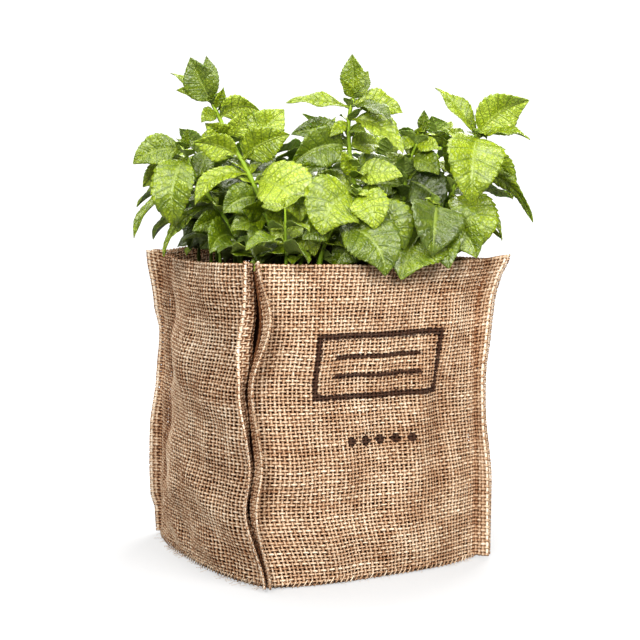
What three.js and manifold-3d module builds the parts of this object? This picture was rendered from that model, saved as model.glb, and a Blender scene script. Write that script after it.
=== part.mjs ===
// A pot of garden mint, growing in a square bag of hessian (woven jute).
//
// Millimetres, +Z up. The origin is the middle of the bag's base, on the surface that the bag stands on. The
// front panel faces -Y and the left panel faces -X.
//
// The bag is five pieces of hessian: a base, and four side panels whose seam allowances are turned outwards,
// so that a wavy fin of two layers runs down each corner. A dark plastic liner holds the compost, and the
// square mint stems stand in holes in it, with their toothed leaves in opposite pairs.

import * as THREE from 'three';
import { mergeVertices } from 'three/addons/utils/BufferGeometryUtils.js';
import Module from 'manifold-3d';

const wasm = await Module();
wasm.setup();

const group = new THREE.Group();
const degrees = Math.PI / 180;

// ---------------------------------------------------------------- driving dimensions, in mm

const bag = {
  half: 70, // crease to crease, halved
  height: 178.5, // the rim at the creases
  rimDips: [1.2, 1.2, -6, 1.2], // its sag halfway along each side; the back one stands up instead
  rimLift: 2.2, // its rise at the fins' edges
  cloth: 1.5,
  floorGap: 0.3, // between pieces that touch
  roundness: 3.5, // power of the bulge's outline: higher is flatter in the middle
};
const bulge = [[0, 11], [30, 13], [100, 10], [178, 9]]; // height, how far a side's middle stands out
const rows = [0, 24, 44, 68, 106, 144, 178]; // heights where the bag's shape is worked out

// Folds and swellings of each side, counted from the front one anticlockwise: where along the side it runs
// (-1 to 1), how wide it is on that scale, and how far out it stands, by height.
const folds = [
  [[0.62, 0.14, [[0, 0], [50, -1.5], [105, -3], [150, -1], [178, 0]]]],
  [[-0.5, 0.16, [[0, 0], [60, -3], [120, -2], [178, -1]]]],
  [[0.5, 0.16, [[0, 0], [80, -3], [178, -2]]]],
  [
    [-0.7, 0.15, [[0, -1], [20, -3], [90, -5], [150, -5], [178, -4]]],
    [0.15, 0.45, [[0, 1], [60, 2], [120, 5], [160, 3.5], [178, 1]]],
  ],
];

// Each corner, counted from the near left one: how far its crease wanders outwards and sideways, how wide
// its fin is, and how far each layer's edge leans away from the other layer. All are height, distance.
const corners = [
  { // front left, nearest the viewer
    out: [[0, 0], [178, 0]],
    aside: [[0, 2.5], [42, -6], [67, -3.5], [108, -7], [148, 0], [178, -3]],
    width: [[0, 8], [40, 11], [178, 11]],
    after: [[0, 4.3], [42, 6.8], [67, 7.5], [108, 5.3], [148, 9.2], [178, 5]],
    before: [[0, -3], [42, -0.8], [67, -0.8], [108, 2], [138, 7.8], [178, 2]],
  },
  { // front right
    out: [[0, -1], [95, -1.5], [150, 0], [178, 5]],
    aside: [[0, 0], [60, 3], [120, -3], [178, 0]],
    width: [[0, 10], [42, 10], [85, 7], [110, 7], [130, 8], [165, 10], [178, 13]],
    after: [[0, 2], [50, 3], [90, 1], [140, 4], [178, 3]],
    before: [[0, 1], [50, 4], [90, 2], [140, 1], [178, 3]],
  },
  { // back right
    out: [[0, 2], [80, 0], [178, 2]],
    aside: [[0, 0], [50, -4], [110, 3], [178, 0]],
    width: [[0, 8], [40, 11], [178, 11]],
    after: [[0, 3], [60, 6], [110, 3], [150, 7], [178, 3]],
    before: [[0, -2], [60, 0], [110, 3], [150, 1], [178, 2]],
  },
  { // back left
    out: [[0, 3], [26, 2], [66, 0], [178, 0]],
    aside: [[0, 0], [60, 3], [120, -2], [178, 0]],
    width: [[0, 4], [14, 5], [24, 8], [66, 9], [100, 6], [128, 4], [145, 7], [178, 11]],
    after: [[0, 1], [50, 3], [100, 2], [178, 3]],
    before: [[0, 1], [50, 2], [100, 4], [178, 3]],
  },
];

const liner = { inset: 2.6, wall: 1, floor: 1.8, top: 171 };
const compost = { inset: 4.2, bottom: 3.2, edge: 167, dome: 7, lump: 1.2 };
const stem = { base: 1.45, tip: 0.8, foot: 177, depth: 13, hole: 2.9, steps: 6 }; // base and tip are halves
const blade = { thickness: 0.7, petiole: 0.1, fold: 0.12, tooth: 0.07, fine: 25 };
const clearance = 2.7; // between the leaves of two stems
const ownClearance = 1.4; // between leaves of one stem, past their petioles

// ---------------------------------------------------------------- colours

const hessian = { color: 0xc39a6b, roughness: 0.95, metalness: 0 };
const brownFilm = { color: 0x3b2416, roughness: 0.55, metalness: 0 };
const peat = { color: 0x2a1d14, roughness: 1, metalness: 0 };
const mintGreen = { color: 0x7fa32b, roughness: 0.55, metalness: 0 };

// ---------------------------------------------------------------- small helpers

// The value at a height, eased from one hand-set point to the next.
function eased(list, height) {
  if (height <= list[0][0]) return list[0][1];
  for (let i = 1; i < list.length; i += 1) {
    const [above, value] = list[i];
    const [below, before] = list[i - 1];
    if (height <= above) {
      const part = (height - below) / (above - below);
      return before + (value - before) * part * part * (3 - 2 * part);
    }
  }
  return list.at(-1)[1];
}

// A closed body from a list of triangles' corners, with shared corners merged and lines of no area dropped.
function closedBody(points) {
  const loose = new THREE.BufferGeometry();
  loose.setAttribute('position', new THREE.Float32BufferAttribute(points.flatMap((p) => [p.x, p.y, p.z]), 3));
  const merged = mergeVertices(loose, 1e-3);
  const index = merged.index.array;
  const kept = [];
  for (let i = 0; i < index.length; i += 3) {
    const [a, b, c] = [index[i], index[i + 1], index[i + 2]];
    if (a !== b && b !== c && c !== a) kept.push(a, b, c);
  }
  merged.setIndex(kept);
  return merged;
}

// The body between two grids of points. Seen from above, the rows run away and the columns run to the left.
function between(top, bottom) {
  const points = [];
  const quad = (a, b, c, d) => points.push(a, b, c, a, c, d);
  const last = top.length - 1;
  const side = top[0].length - 1;
  for (let i = 0; i < last; i += 1) {
    for (let j = 0; j < side; j += 1) {
      quad(top[i][j], top[i + 1][j], top[i + 1][j + 1], top[i][j + 1]);
      points.push(bottom[i][j], bottom[i + 1][j + 1], bottom[i + 1][j]);
      points.push(bottom[i][j], bottom[i][j + 1], bottom[i + 1][j + 1]);
    }
    quad(top[i][0], bottom[i][0], bottom[i + 1][0], top[i + 1][0]);
    quad(top[i][side], top[i + 1][side], bottom[i + 1][side], bottom[i][side]);
  }
  for (let j = 0; j < side; j += 1) {
    quad(top[0][j], top[0][j + 1], bottom[0][j + 1], bottom[0][j]);
    quad(top[last][j], bottom[last][j], bottom[last][j + 1], top[last][j + 1]);
  }
  return closedBody(points);
}

// The body inside a stack of rings that run anticlockwise seen from the last one, closed at both ends.
function stacked(rings) {
  const points = [];
  const middle = (ring) => ring.reduce((sum, p) => sum.add(p), new THREE.Vector3()).divideScalar(ring.length);
  const count = rings[0].length;
  const first = middle(rings[0]);
  const last = middle(rings.at(-1));
  for (let j = 0; j < count; j += 1) {
    const next = (j + 1) % count;
    for (let i = 0; i < rings.length - 1; i += 1) {
      points.push(rings[i][j], rings[i][next], rings[i + 1][next]);
      points.push(rings[i][j], rings[i + 1][next], rings[i + 1][j]);
    }
    points.push(first, rings[0][next], rings[0][j]);
    points.push(last, rings.at(-1)[j], rings.at(-1)[next]);
  }
  return closedBody(points);
}

function toSolid(geometry) {
  return new wasm.Manifold(new wasm.Mesh({
    numProp: 3,
    vertProperties: Float32Array.from(geometry.attributes.position.array),
    triVerts: Uint32Array.from(geometry.index.array),
  }));
}

function toGeometry(solid) {
  const mesh = solid.asOriginal().simplify(0.02).getMesh();
  const geometry = new THREE.BufferGeometry();
  geometry.setAttribute('position', new THREE.BufferAttribute(mesh.vertProperties, 3));
  geometry.setIndex(new THREE.BufferAttribute(mesh.triVerts, 1));
  return geometry;
}

function addPiece(name, geometry, finish) {
  const mesh = new THREE.Mesh(geometry, new THREE.MeshStandardMaterial(finish));
  mesh.name = name;
  group.add(mesh);
}

// ---------------------------------------------------------------- the bag's section

// Sides are counted anticlockwise from the front. In a side's own frame, x runs to its right and y outwards.
const turns = [0, 1, 2, 3];
function fromSide(side, x, outwards, z) {
  const angle = side * 90 * degrees;
  return new THREE.Vector3(
    x * Math.cos(angle) + outwards * Math.sin(angle),
    x * Math.sin(angle) - outwards * Math.cos(angle),
    z,
  );
}

// The two creases of a side, as x and outwards, drawn in by an inset. Corner n is the left end of side n.
function creases(side, z, inset) {
  const left = corners[side];
  const right = corners[(side + 1) % 4];
  const out = (corner) => (eased(corner.out, z) - inset * Math.SQRT2) / Math.SQRT2;
  const aside = (corner) => eased(corner.aside, z) / Math.SQRT2;
  return [
    { x: -bag.half - out(left) + aside(left), y: bag.half + out(left) + aside(left) },
    { x: bag.half + out(right) + aside(right), y: bag.half + out(right) - aside(right) },
  ];
}

// How far a side stands out at u, from -1 at its left crease to 1 at its right one.
function swell(side, u, z) {
  const folded = folds[side].reduce((sum, [at, wide, out]) => (
    sum + eased(out, z) * Math.exp(-(((u - at) / wide) ** 2))), 0);
  return (eased(bulge, z) + folded) * (1 - Math.abs(u) ** bag.roundness);
}

// A point of a side's bulged face.
function facePoint(side, u, z, inset) {
  const [left, right] = creases(side, z, inset);
  const part = (u + 1) / 2;
  return { x: left.x + (right.x - left.x) * part, y: left.y + (right.y - left.y) * part + swell(side, u, z) };
}

const ringSteps = [-1, -0.84, -0.7, -0.5, -0.1, 0.4, 0.62, 0.88];
function ring(z, inset, scale = 1, height = () => z) {
  return turns.flatMap((side) => ringSteps.map((u) => {
    const p = facePoint(side, u, z, inset);
    const point = fromSide(side, p.x * scale, p.y * scale, 0);
    point.z = height(point.x, point.y);
    return point;
  }));
}

// ---------------------------------------------------------------- the side panels of hessian

const panelSteps = [-0.93, -0.84, -0.7, -0.5, -0.1, 0.4, 0.62, 0.92];
const seam = bag.cloth / 2 + 0.35; // from the corner's diagonal to the middle of a layer

// The panel's line at one height, from the edge of its left fin to the edge of its right one.
function panelLine(side, z) {
  const [left, right] = creases(side, z, 0);
  const fin = (crease, corner, lean, mirror, part) => {
    const along = (eased(corner.width, z) * part) / Math.SQRT2;
    const apart = (seam + lean * part ** 2) / Math.SQRT2;
    return { x: crease.x + mirror * (along - apart), y: crease.y + along + apart, lift: bag.rimLift * part };
  };
  const leftLean = eased(corners[side].after, z);
  const rightLean = eased(corners[(side + 1) % 4].before, z);
  const leftFin = [1, 0.67, 0.34, 0].map((part) => fin(left, corners[side], leftLean, -1, part));
  const rightFin = [0, 0.34, 0.67, 1].map((part) => fin(right, corners[(side + 1) % 4], rightLean, 1, part));
  return [...leftFin, ...panelSteps.map((u) => facePoint(side, u, z, 0)), ...rightFin];
}

// The line moved outwards by a distance, mitred at its bends.
function offsetLine(line, distance) {
  return line.map((p, i) => {
    const before = line[Math.max(i - 1, 0)];
    const after = line[Math.min(i + 1, line.length - 1)];
    const unit = (a, b) => {
      const length = Math.hypot(b.x - a.x, b.y - a.y) || 1;
      return { x: (b.x - a.x) / length, y: (b.y - a.y) / length };
    };
    const a = i === 0 ? unit(p, after) : unit(before, p);
    const b = i === line.length - 1 ? a : unit(p, after);
    const nx = -(a.y + b.y);
    const ny = a.x + b.x;
    const mitre = distance / ((nx * nx + ny * ny) / 2);
    return { ...p, x: p.x + nx * mitre, y: p.y + ny * mitre };
  });
}

function panel(side) {
  const bottom = bag.cloth + bag.floorGap;
  const face = (distance) => rows.map((row) => {
    const line = offsetLine(panelLine(side, row), distance);
    return line.map((p, i) => {
      const across = Math.sin((Math.PI * i) / (line.length - 1));
      const rim = bag.height - bag.rimDips[side] * across * across + (p.lift ?? 0);
      return fromSide(side, p.x, p.y, bottom + (row / bag.height) * (rim - bottom));
    });
  });
  // Seen from outside, the rows run up and the columns run to the left.
  const flipped = (grid) => grid.map((row) => [...row].reverse());
  return between(flipped(face(bag.cloth / 2)), flipped(face(-bag.cloth / 2)));
}

['bag_front_panel', 'bag_right_panel', 'bag_back_panel', 'bag_left_panel'].forEach((name, side) => {
  addPiece(name, panel(side), hessian);
});

// ---------------------------------------------------------------- the base, the liner and the compost

addPiece('bag_base_panel', stacked([ring(0, 0, 1, () => 0), ring(0, 0, 1, () => bag.cloth)]), hessian);

const heights = rows.filter((row) => row > liner.floor + 3 && row < liner.top - 3);
const outerLiner = [liner.floor, ...heights, liner.top].map((z) => ring(z, liner.inset));
const innerLiner = [liner.floor + liner.wall, ...heights, liner.top + 1]
  .map((z) => ring(z, liner.inset + liner.wall));
const cup = toSolid(stacked(outerLiner)).subtract(toSolid(stacked(innerLiner)));
addPiece('liner', toGeometry(cup), brownFilm);

// The compost is heaped a little in the middle and lumpy.
function compostTop(x, y) {
  const across = Math.min(1, Math.max(Math.abs(x), Math.abs(y)) / bag.half);
  const lumps = Math.sin(x / 8 + 1) * Math.cos(y / 9) + 0.5 * Math.sin(x / 4 - y / 5);
  return compost.edge + compost.dome * (1 - across ** 4) + compost.lump * lumps;
}

const compostRings = [compost.bottom, ...heights].map((z) => ring(z, compost.inset));
for (const scale of [1, 0.85, 0.65, 0.45, 0.22]) {
  compostRings.push(ring(compost.edge, compost.inset, scale, scale === 1 ? () => compost.edge : compostTop));
}

// ---------------------------------------------------------------- mint leaves

// A leaf is where on its stem it stands (0 foot, 1 tip), its bearing in plan and its rise in degrees, its
// length in mm, how far it droops and how far it is rolled, in degrees, and its half width over its length.
// Its midrib is an arc in the upright plane of its bearing.
function midrib(leaf, base, q) {
  const bearing = leaf.bearing * degrees;
  const drooped = leaf.droop * degrees * q;
  const mean = leaf.rise * degrees - drooped / 2;
  const chord = leaf.length * q * (drooped === 0 ? 1 : Math.sin(drooped / 2) / (drooped / 2));
  const here = leaf.rise * degrees - drooped;
  const towards = (angle) => new THREE.Vector3(
    Math.cos(bearing) * Math.cos(angle),
    Math.sin(bearing) * Math.cos(angle),
    Math.sin(angle),
  );
  const direction = towards(here);
  const level = new THREE.Vector3(-Math.sin(bearing), Math.cos(bearing), 0);
  const raised = new THREE.Vector3().crossVectors(direction, level);
  const roll = leaf.roll * degrees;
  const side = level.multiplyScalar(Math.cos(roll)).addScaledVector(raised, Math.sin(roll));
  const normal = new THREE.Vector3().crossVectors(direction, side);
  return { point: towards(mean).multiplyScalar(chord).add(base), side, normal };
}

// Half the blade's width at q, from 0 at the stem to 1 at the leaf's tip.
function halfWidth(leaf, q) {
  const neck = 0.8;
  if (q <= blade.petiole) return neck;
  const part = (q - blade.petiole) / (1 - blade.petiole);
  const rounded = Math.max(0, Math.sin(Math.PI * part ** 0.76)) ** 0.9 * (1 - 0.15 * part ** 2);
  return Math.max(neck * (1 - part), leaf.wide * leaf.length * rounded);
}

// Where the blade's outline turns: at the petiole, at the points of its teeth and in the notches behind them.
// Both ends are points, and the first lies inside the stem.
const grownEdge = [[-0.02, 0], [0.12, 0], [0.36, 1], [0.46, -1], [0.66, 1], [0.76, -1], [1, 0]];
const smallEdge = [[-0.03, 0], [0.13, 0], [0.4, 1], [0.56, -1], [1, 0]];

function leafBody(leaf, base) {
  const edge = leaf.length < leaf.fine ? smallEdge : grownEdge;
  const face = (height) => edge.map(([q, tooth]) => {
    const { point, side, normal } = midrib(leaf, base, q);
    const width = q < 0 || q === 1 ? 0 : halfWidth(leaf, q) * (1 + blade.tooth * tooth);
    return [-1, 0, 1].map((across) => point.clone()
      .addScaledVector(side, across * width)
      .addScaledVector(normal, q < 0 ? 0 : height + blade.fold * width * Math.abs(across)));
  });
  return between(face(blade.thickness / 2), face(-blade.thickness / 2));
}

// ---------------------------------------------------------------- where the stems and leaves stand

const stemPlaces = [
  { name: 'left_tall',
    path: [[-44, -37], [-47, -38, 210], [-67, -30, 238], [-79, -26, 267]],
    leaves: [
      [0.98, 180, 55, 29, -15, -120, 0.31], [0.99, 85, 75, 29, 10, 0, 0.16],
      [0.99, 135, 50, 31, 30, -40, 0.12], [0.99, 140, 35, 25, 30, -60, 0.13],
      [0.95, -75, 60, 14, 10, 160, 0.22], [0.93, -145, 0, 17, 40, -55, 0.25],
      [0.89, -45, 50, 26, 80, 110, 0.28], [0.89, 10, 50, 20, 20, 55, 0.25],
      [0.73, -170, 50, 21, 20, -125, 0.33], [0.73, -80, 70, 20, 20, 140, 0.28],
      [0.65, 165, 35, 29, 40, -115, 0.27], [0.63, -45, 45, 32, 40, 115, 0.3],
      [0.61, -5, 60, 40, 20, 75, 0.3], [0.53, 175, 20, 41, 95, -50, 0.13], [0.53, 15, 40, 24, 20, 45, 0.25],
      [0.48, -60, 15, 44, 95, 55, 0.34], [0.47, 125, 25, 31, 30, -65, 0.3],
      [0.39, -175, 10, 26, 60, -80, 0.33], [0.3, -165, 30, 21, 30, -120, 0.3],
      [0.28, -60, 5, 42, 80, 55, 0.36], [0.24, -170, 15, 25, 50, -70, 0.3],
      [0.22, -65, 70, 19, 20, 135, 0.25], [0.16, -145, 5, 30, 80, -30, 0.33],
    ] },
  { name: 'left_low',
    path: [[-57, -15], [-60, -17, 203], [-83, -8, 217], [-88, -8, 241]],
    leaves: [
      [0.99, 165, 15, 32, 60, -70, 0.26], [0.99, -90, 75, 13, 10, 150, 0.2],
      [0.99, -35, 70, 17, 60, 125, 0.2], [0.93, -140, -15, 50, 110, -20, 0.22],
      [0.93, 125, -5, 36, 50, -125, 0.2], [0.72, 25, 65, 22, 20, 25, 0.3],
      [0.64, 170, 10, 55, 85, -40, 0.08], [0.61, 5, 35, 23, 30, 55, 0.3],
      [0.5, 165, -10, 45, 70, -40, 0.1], [0.48, -55, 35, 22, 40, 120, 0.32],
      [0.42, 120, 25, 25, 60, -115, 0.3], [0.32, -170, 20, 25, 60, -70, 0.25],
      [0.3, -65, 15, 25, 60, 65, 0.3], [0.23, 130, 0, 24, 50, -110, 0.3],
      [0.18, -145, 20, 31, 90, -50, 0.3],
    ] },
  { name: 'middle_tall',
    path: [[4, -36], [13, -44, 211], [-6, -37, 240], [1, -44, 270]],
    leaves: [
      [1, -130, 90, 25, 15, -170, 0.27], [1, 5, 60, 20, 10, 45, 0.24], [1, -150, 45, 15, 10, -135, 0.2],
      [0.94, 160, 20, 38, 30, -45, 0.13], [0.96, -15, 15, 32, 45, 70, 0.25],
      [0.95, -60, 10, 31, 60, 25, 0.2], [0.87, -50, 0, 41, 60, 50, 0.19],
      [0.85, -165, -15, 17, 30, -65, 0.2], [0.74, 165, 30, 35, 50, -80, 0.2],
      [0.7, 180, 10, 40, 55, -80, 0.27], [0.69, 5, 25, 23, 40, 65, 0.32],
      [0.79, -75, 15, 17, 30, 40, 0.22], [0.49, -155, 60, 20, 15, -135, 0.22],
      [0.49, -45, 25, 30, 40, 60, 0.26], [0.53, 0, 30, 29, 30, 50, 0.25],
      [0.5, 100, 35, 22, 40, -55, 0.25], [0.42, 135, 20, 32, 40, -70, 0.26],
      [0.4, 125, 35, 32, 40, -75, 0.16], [0.35, -60, 30, 22, 60, 70, 0.3],
      [0.32, -160, 5, 33, 90, -55, 0.33], [0.21, -170, -10, 33, 70, -60, 0.26],
    ] },
  { name: 'front_low',
    path: [[-28, -58], [-28, -59, 185], [-26, -63, 191], [-24, -66, 197]],
    leaves: [
      [1, -42, 15, 48, 110, 45, 0.32], [0.9, -170, 20, 24, 60, -60, 0.3], [0.9, 60, 40, 20, 30, 30, 0.3],
      [0.5, 120, 30, 22, 50, -30, 0.3],
    ] },
  { name: 'front_middle',
    path: [[1, -64], [2, -68, 191], [-5, -69, 203], [-11, -69, 215]],
    leaves: [
      [0.99, -175, 10, 38, 100, -65, 0.42], [0.99, -90, -5, 27, 90, 35, 0.38],
      [0.73, -50, 0, 34, 80, 50, 0.36], [0.59, -155, -10, 23, 70, -50, 0.33],
      [0.32, -175, 5, 29, 60, -65, 0.3],
    ] },
  { name: 'right_shoot',
    path: [[44, -39], [38, -38, 202], [34, -38, 228], [46, -47, 251]],
    leaves: [
      [1, -110, 75, 14, 5, 175, 0.24], [1, -155, 15, 8, 5, -105, 0.3], [0.98, 0, 5, 30, 50, 115, 0.14],
      [0.92, -180, 5, 18, 40, -55, 0.22], [0.89, -65, 15, 17, 40, 65, 0.3],
      [0.79, -65, 5, 23, 60, 60, 0.3], [0.68, 120, 50, 19, 20, -60, 0.25],
      [0.62, -55, -5, 30, 60, 65, 0.42], [0.57, 175, 20, 28, 45, -70, 0.28],
      [0.5, -85, -10, 34, 80, 40, 0.38], [0.47, -170, 10, 25, 60, -75, 0.3],
    ] },
  { name: 'right_tall',
    path: [[64, -47], [58, -48, 202], [63, -54, 228], [74, -64, 249]],
    leaves: [
      [0.99, -35, 65, 38, 60, 100, 0.33], [0.99, -130, -5, 55, 100, -15, 0.28],
      [0.99, 135, 60, 40, 20, -35, 0.17], [0.99, -50, 25, 33, 50, 40, 0.13],
      [0.88, 115, 45, 22, 30, -40, 0.2], [0.88, -5, -5, 45, 80, 115, 0.16],
      [0.75, -15, 0, 58, 80, 140, 0.08], [0.69, -170, 65, 25, 30, -160, 0.2],
      [0.63, -150, 65, 21, 20, -200, 0.2], [0.51, -100, -15, 43, 80, 10, 0.34],
      [0.55, -10, 20, 46, 60, 145, 0.1], [0.43, -35, 10, 43, 85, 45, 0.1],
      [0.36, -20, 5, 39, 60, 135, 0.12], [0.3, 0, 15, 35, 60, 110, 0.3], [0.2, -65, 0, 26, 70, 55, 0.3],
      [0.36, 110, 50, 21, 40, -55, 0.3],
    ] },
  { name: 'front_right',
    path: [[38, -62], [36, -64, 188], [42, -69, 198], [41, -71, 209]],
    leaves: [
      [1, -135, 0, 44, 90, -20, 0.35], [0.78, -60, -5, 37, 70, 55, 0.33],
      [0.43, -155, 5, 47, 70, -45, 0.36], [0.46, -90, 10, 37, 80, 40, 0.3],
    ] },
];

// The stems behind are hardly seen from the front. Their pairs of leaves follow a rule: each pair is turned a
// quarter from the last, as mint's are, and lower pairs are longer and droop more. foot and tip are in plan.
const rearStems = [
  { name: 'left_edge', foot: [-44, 20], tip: [-64, 27, 238], pairs: 5, turn: 20 },
  { name: 'back_left', foot: [-14, 21], tip: [-14, 37, 246], pairs: 5, turn: 60 },
  { name: 'back_middle', foot: [15, 10], tip: [19, 28, 250], pairs: 5, turn: 10 },
  { name: 'back_right', foot: [40, -1], tip: [56, 11, 234], pairs: 4, turn: 80 },
  { name: 'right_edge', foot: [60, -7], tip: [84, -8, 246], pairs: 6, turn: 35 },
  { name: 'far_right', foot: [53, 33], tip: [77, 48, 242], pairs: 6, turn: 50 },
  { name: 'far_corner', foot: [34, 58], tip: [48, 82, 240], pairs: 5, turn: 15 },
  { name: 'far_middle', foot: [2, 56], tip: [6, 84, 248], pairs: 6, turn: 70 },
  { name: 'far_left', foot: [-40, 56], tip: [-58, 78, 238], pairs: 5, turn: 0 },
];

let seed = 7;
function draw(low, high) {
  seed = (seed * 16807) % 2147483647;
  return low + ((high - low) * seed) / 2147483647;
}

function rearLeaves({ pairs, turn }) {
  const leaves = [];
  for (let pair = 0; pair < pairs; pair += 1) {
    const youngest = pair === 0;
    for (const opposite of [0, 180]) {
      leaves.push([
        1 - (0.8 * pair) / pairs,
        turn + 90 * pair + opposite + draw(-15, 15),
        (youngest ? 60 : 30 - 4 * pair) + draw(-10, 10),
        (youngest ? 22 : 32 + 3 * Math.min(pair, 3)) + draw(-3, 3),
        (youngest ? 20 : 50 + 6 * pair) + draw(-10, 10),
        draw(-15, 15),
        0.31,
      ]);
    }
  }
  return leaves;
}

for (const { name, foot, tip, pairs, turn } of rearStems) {
  const rise = tip[2] - stem.foot;
  const bend = tip.slice(0, 2).map((value, i) => value - 0.3 * (value - foot[i]));
  stemPlaces.push({
    name,
    path: [foot, [...foot, stem.foot + 0.4 * rise], [...bend, tip[2] - 0.35 * rise], tip],
    leaves: rearLeaves({ pairs, turn }),
    fine: Infinity,
  });
}

// ---------------------------------------------------------------- leaves bent clear of other stems

const stems = stemPlaces.map(({ name, path, leaves, fine = blade.fine }) => ({
  name,
  curve: new THREE.CubicBezierCurve3(...path.map(([x, y, z = stem.foot]) => new THREE.Vector3(x, y, z))),
  leaves: leaves.map(([at, bearing, rise, length, droop, roll, wide]) => (
    { at, bearing, rise, length, droop, roll, wide, fine })),
  taken: [],
}));

// Points all over a blade, close enough together that nothing passes between them.
function bladePoints(leaf, base) {
  const points = [];
  for (let row = 0; row <= 10; row += 1) {
    const q = 0.2 + 0.08 * row;
    const { point, side, normal } = midrib(leaf, base, q);
    const width = halfWidth(leaf, q);
    for (let column = -3; column <= 3; column += 1) {
      const across = (column / 3) * width;
      points.push(point.clone().addScaledVector(side, across)
        .addScaledVector(normal, blade.fold * Math.abs(across)));
    }
  }
  return points;
}

// True if a point keeps clear of the hessian, its fins, the liner and the compost.
function clearOfBag({ x, y, z }) {
  const far = Math.max(Math.abs(x), Math.abs(y));
  const near = Math.min(Math.abs(x), Math.abs(y));
  const side = [-y, x, y, -x].indexOf(far);
  if (z > bag.height + 2.5 + Math.max(0, -bag.rimDips[side])) return true;
  const u = Math.max(-1, Math.min(1, [x, y, -x, -y][side] / bag.half));
  const wall = bag.half + swell(side, u, z);
  if (near > bag.half - 14) return far > bag.half + 16;
  if (far > wall) return far > wall + 3.5;
  return far < wall - 7 && z > compostTop(x, y) + 2;
}

// Points that another leaf has to stay away from, with their middle and the reach round it.
function cloud(dots) {
  const middle = dots.reduce((sum, dot) => sum.add(dot), new THREE.Vector3()).divideScalar(dots.length);
  return { dots, middle, reach: Math.max(...dots.map((dot) => dot.distanceTo(middle))) };
}

function apart(one, other, gap) {
  if (one.middle.distanceTo(other.middle) > one.reach + other.reach + gap) return true;
  return one.dots.every((p) => other.dots.every((dot) => p.distanceToSquared(dot) > gap * gap));
}

const outerPart = 14; // bladePoints' first dots, which are near the petiole
function isClear(dots, own) {
  if (!dots.every(clearOfBag)) return false;
  const whole = cloud(dots);
  const outer = cloud(dots.slice(outerPart));
  return stems.every((other) => (other === own
    ? own.taken.every((taken) => apart(outer, taken.outer, ownClearance))
    : apart(whole, other.line, clearance + stem.base)
      && other.taken.every((taken) => apart(whole, taken.whole, clearance))));
}

for (const owner of stems) owner.line = cloud(owner.curve.getPoints(40));

// A leaf that would touch another stem or its leaves is turned or lifted, and at last cut shorter.
const nudges = [
  [0, 0], [10, 0], [-10, 0], [0, 10], [0, -10], [10, 10], [-10, 10], [10, -10], [-10, -10], [20, 0], [-20, 0],
  [20, 10], [-20, 10], [0, 20], [20, 20], [-20, 20], [30, 0], [-30, 0], [30, 15], [-30, 15], [0, -20],
];
for (const owner of stems) {
  owner.leaves = owner.leaves.map((leaf) => {
    const base = owner.curve.getPoint(leaf.at);
    for (const shorter of [1, 0.85, 0.7, 0.55]) {
      for (const [turned, lifted] of nudges) {
        const bent = {
          ...leaf,
          bearing: leaf.bearing + turned,
          rise: leaf.rise + lifted,
          length: leaf.length * shorter,
        };
        const dots = bladePoints(bent, base);
        if (isClear(dots, owner)) {
          owner.taken.push({ whole: cloud(dots), outer: cloud(dots.slice(outerPart)) });
          return bent;
        }
      }
    }
    return null;
  }).filter((leaf) => leaf !== null);
}

// ---------------------------------------------------------------- the leafy stems, and their holes

// A square stem: upright in its hole, then along its curve, growing thinner.
function stemBody(curve) {
  const rings = [];
  const square = (middle, direction, half) => {
    const right = new THREE.Vector3(1, 0, 0).addScaledVector(direction, -direction.x).normalize();
    const up = new THREE.Vector3().crossVectors(direction, right);
    rings.push([[-1, -1], [1, -1], [1, 1], [-1, 1]].map(([a, b]) => middle.clone()
      .addScaledVector(right, a * half).addScaledVector(up, b * half)));
  };
  const foot = curve.getPoint(0);
  square(foot.clone().setZ(stem.foot - stem.depth), new THREE.Vector3(0, 0, 1), stem.base);
  for (let step = 0; step <= stem.steps; step += 1) {
    const t = step / stem.steps;
    const direction = step === 0 ? new THREE.Vector3(0, 0, 1) : curve.getTangent(t);
    square(curve.getPoint(t), direction, stem.base + (stem.tip - stem.base) * t);
  }
  return stacked(rings);
}

let block = toSolid(stacked(compostRings));
for (const { name, curve, leaves } of stems) {
  let solid = toSolid(stemBody(curve));
  for (const leaf of leaves) solid = solid.add(toSolid(leafBody(leaf, curve.getPoint(leaf.at))));
  addPiece(`mint_stem_${name}`, toGeometry(solid), mintGreen);

  const hole = new THREE.CylinderGeometry(stem.hole, stem.hole, 40, 6);
  hole.rotateX(90 * degrees);
  hole.translate(curve.v0.x, curve.v0.y, stem.foot - stem.depth - 0.4 + 20);
  hole.deleteAttribute('normal');
  hole.deleteAttribute('uv');
  block = block.subtract(toSolid(mergeVertices(hole)));
}
addPiece('compost', toGeometry(block), peat);

export default group;
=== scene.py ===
# Garden mint, growing in compost in a square bag of hessian (woven jute).
#
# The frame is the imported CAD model: +Z up, the bag's front panel faces -Y and its left panel faces -X. Sizes
# below are in millimetres, and a finished mesh is scaled to metres when it becomes a piece.

import math
from random import Random

import bmesh
import bpy
import numpy as np
from mathutils import Matrix, Vector, noise


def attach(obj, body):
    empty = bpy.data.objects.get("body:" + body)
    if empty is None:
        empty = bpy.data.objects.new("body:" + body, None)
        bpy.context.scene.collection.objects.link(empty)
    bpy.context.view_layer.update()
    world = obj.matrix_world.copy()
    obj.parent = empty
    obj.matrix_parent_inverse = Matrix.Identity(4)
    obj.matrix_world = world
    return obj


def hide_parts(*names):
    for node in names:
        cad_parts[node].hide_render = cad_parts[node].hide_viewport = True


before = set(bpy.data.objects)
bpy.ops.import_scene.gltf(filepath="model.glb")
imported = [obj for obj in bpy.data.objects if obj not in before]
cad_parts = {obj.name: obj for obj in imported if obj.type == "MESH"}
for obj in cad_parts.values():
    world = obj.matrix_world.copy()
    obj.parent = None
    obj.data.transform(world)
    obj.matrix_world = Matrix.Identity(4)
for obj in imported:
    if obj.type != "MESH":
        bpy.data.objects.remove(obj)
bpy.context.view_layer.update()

mm = 0.001
scene = bpy.context.scene


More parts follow.
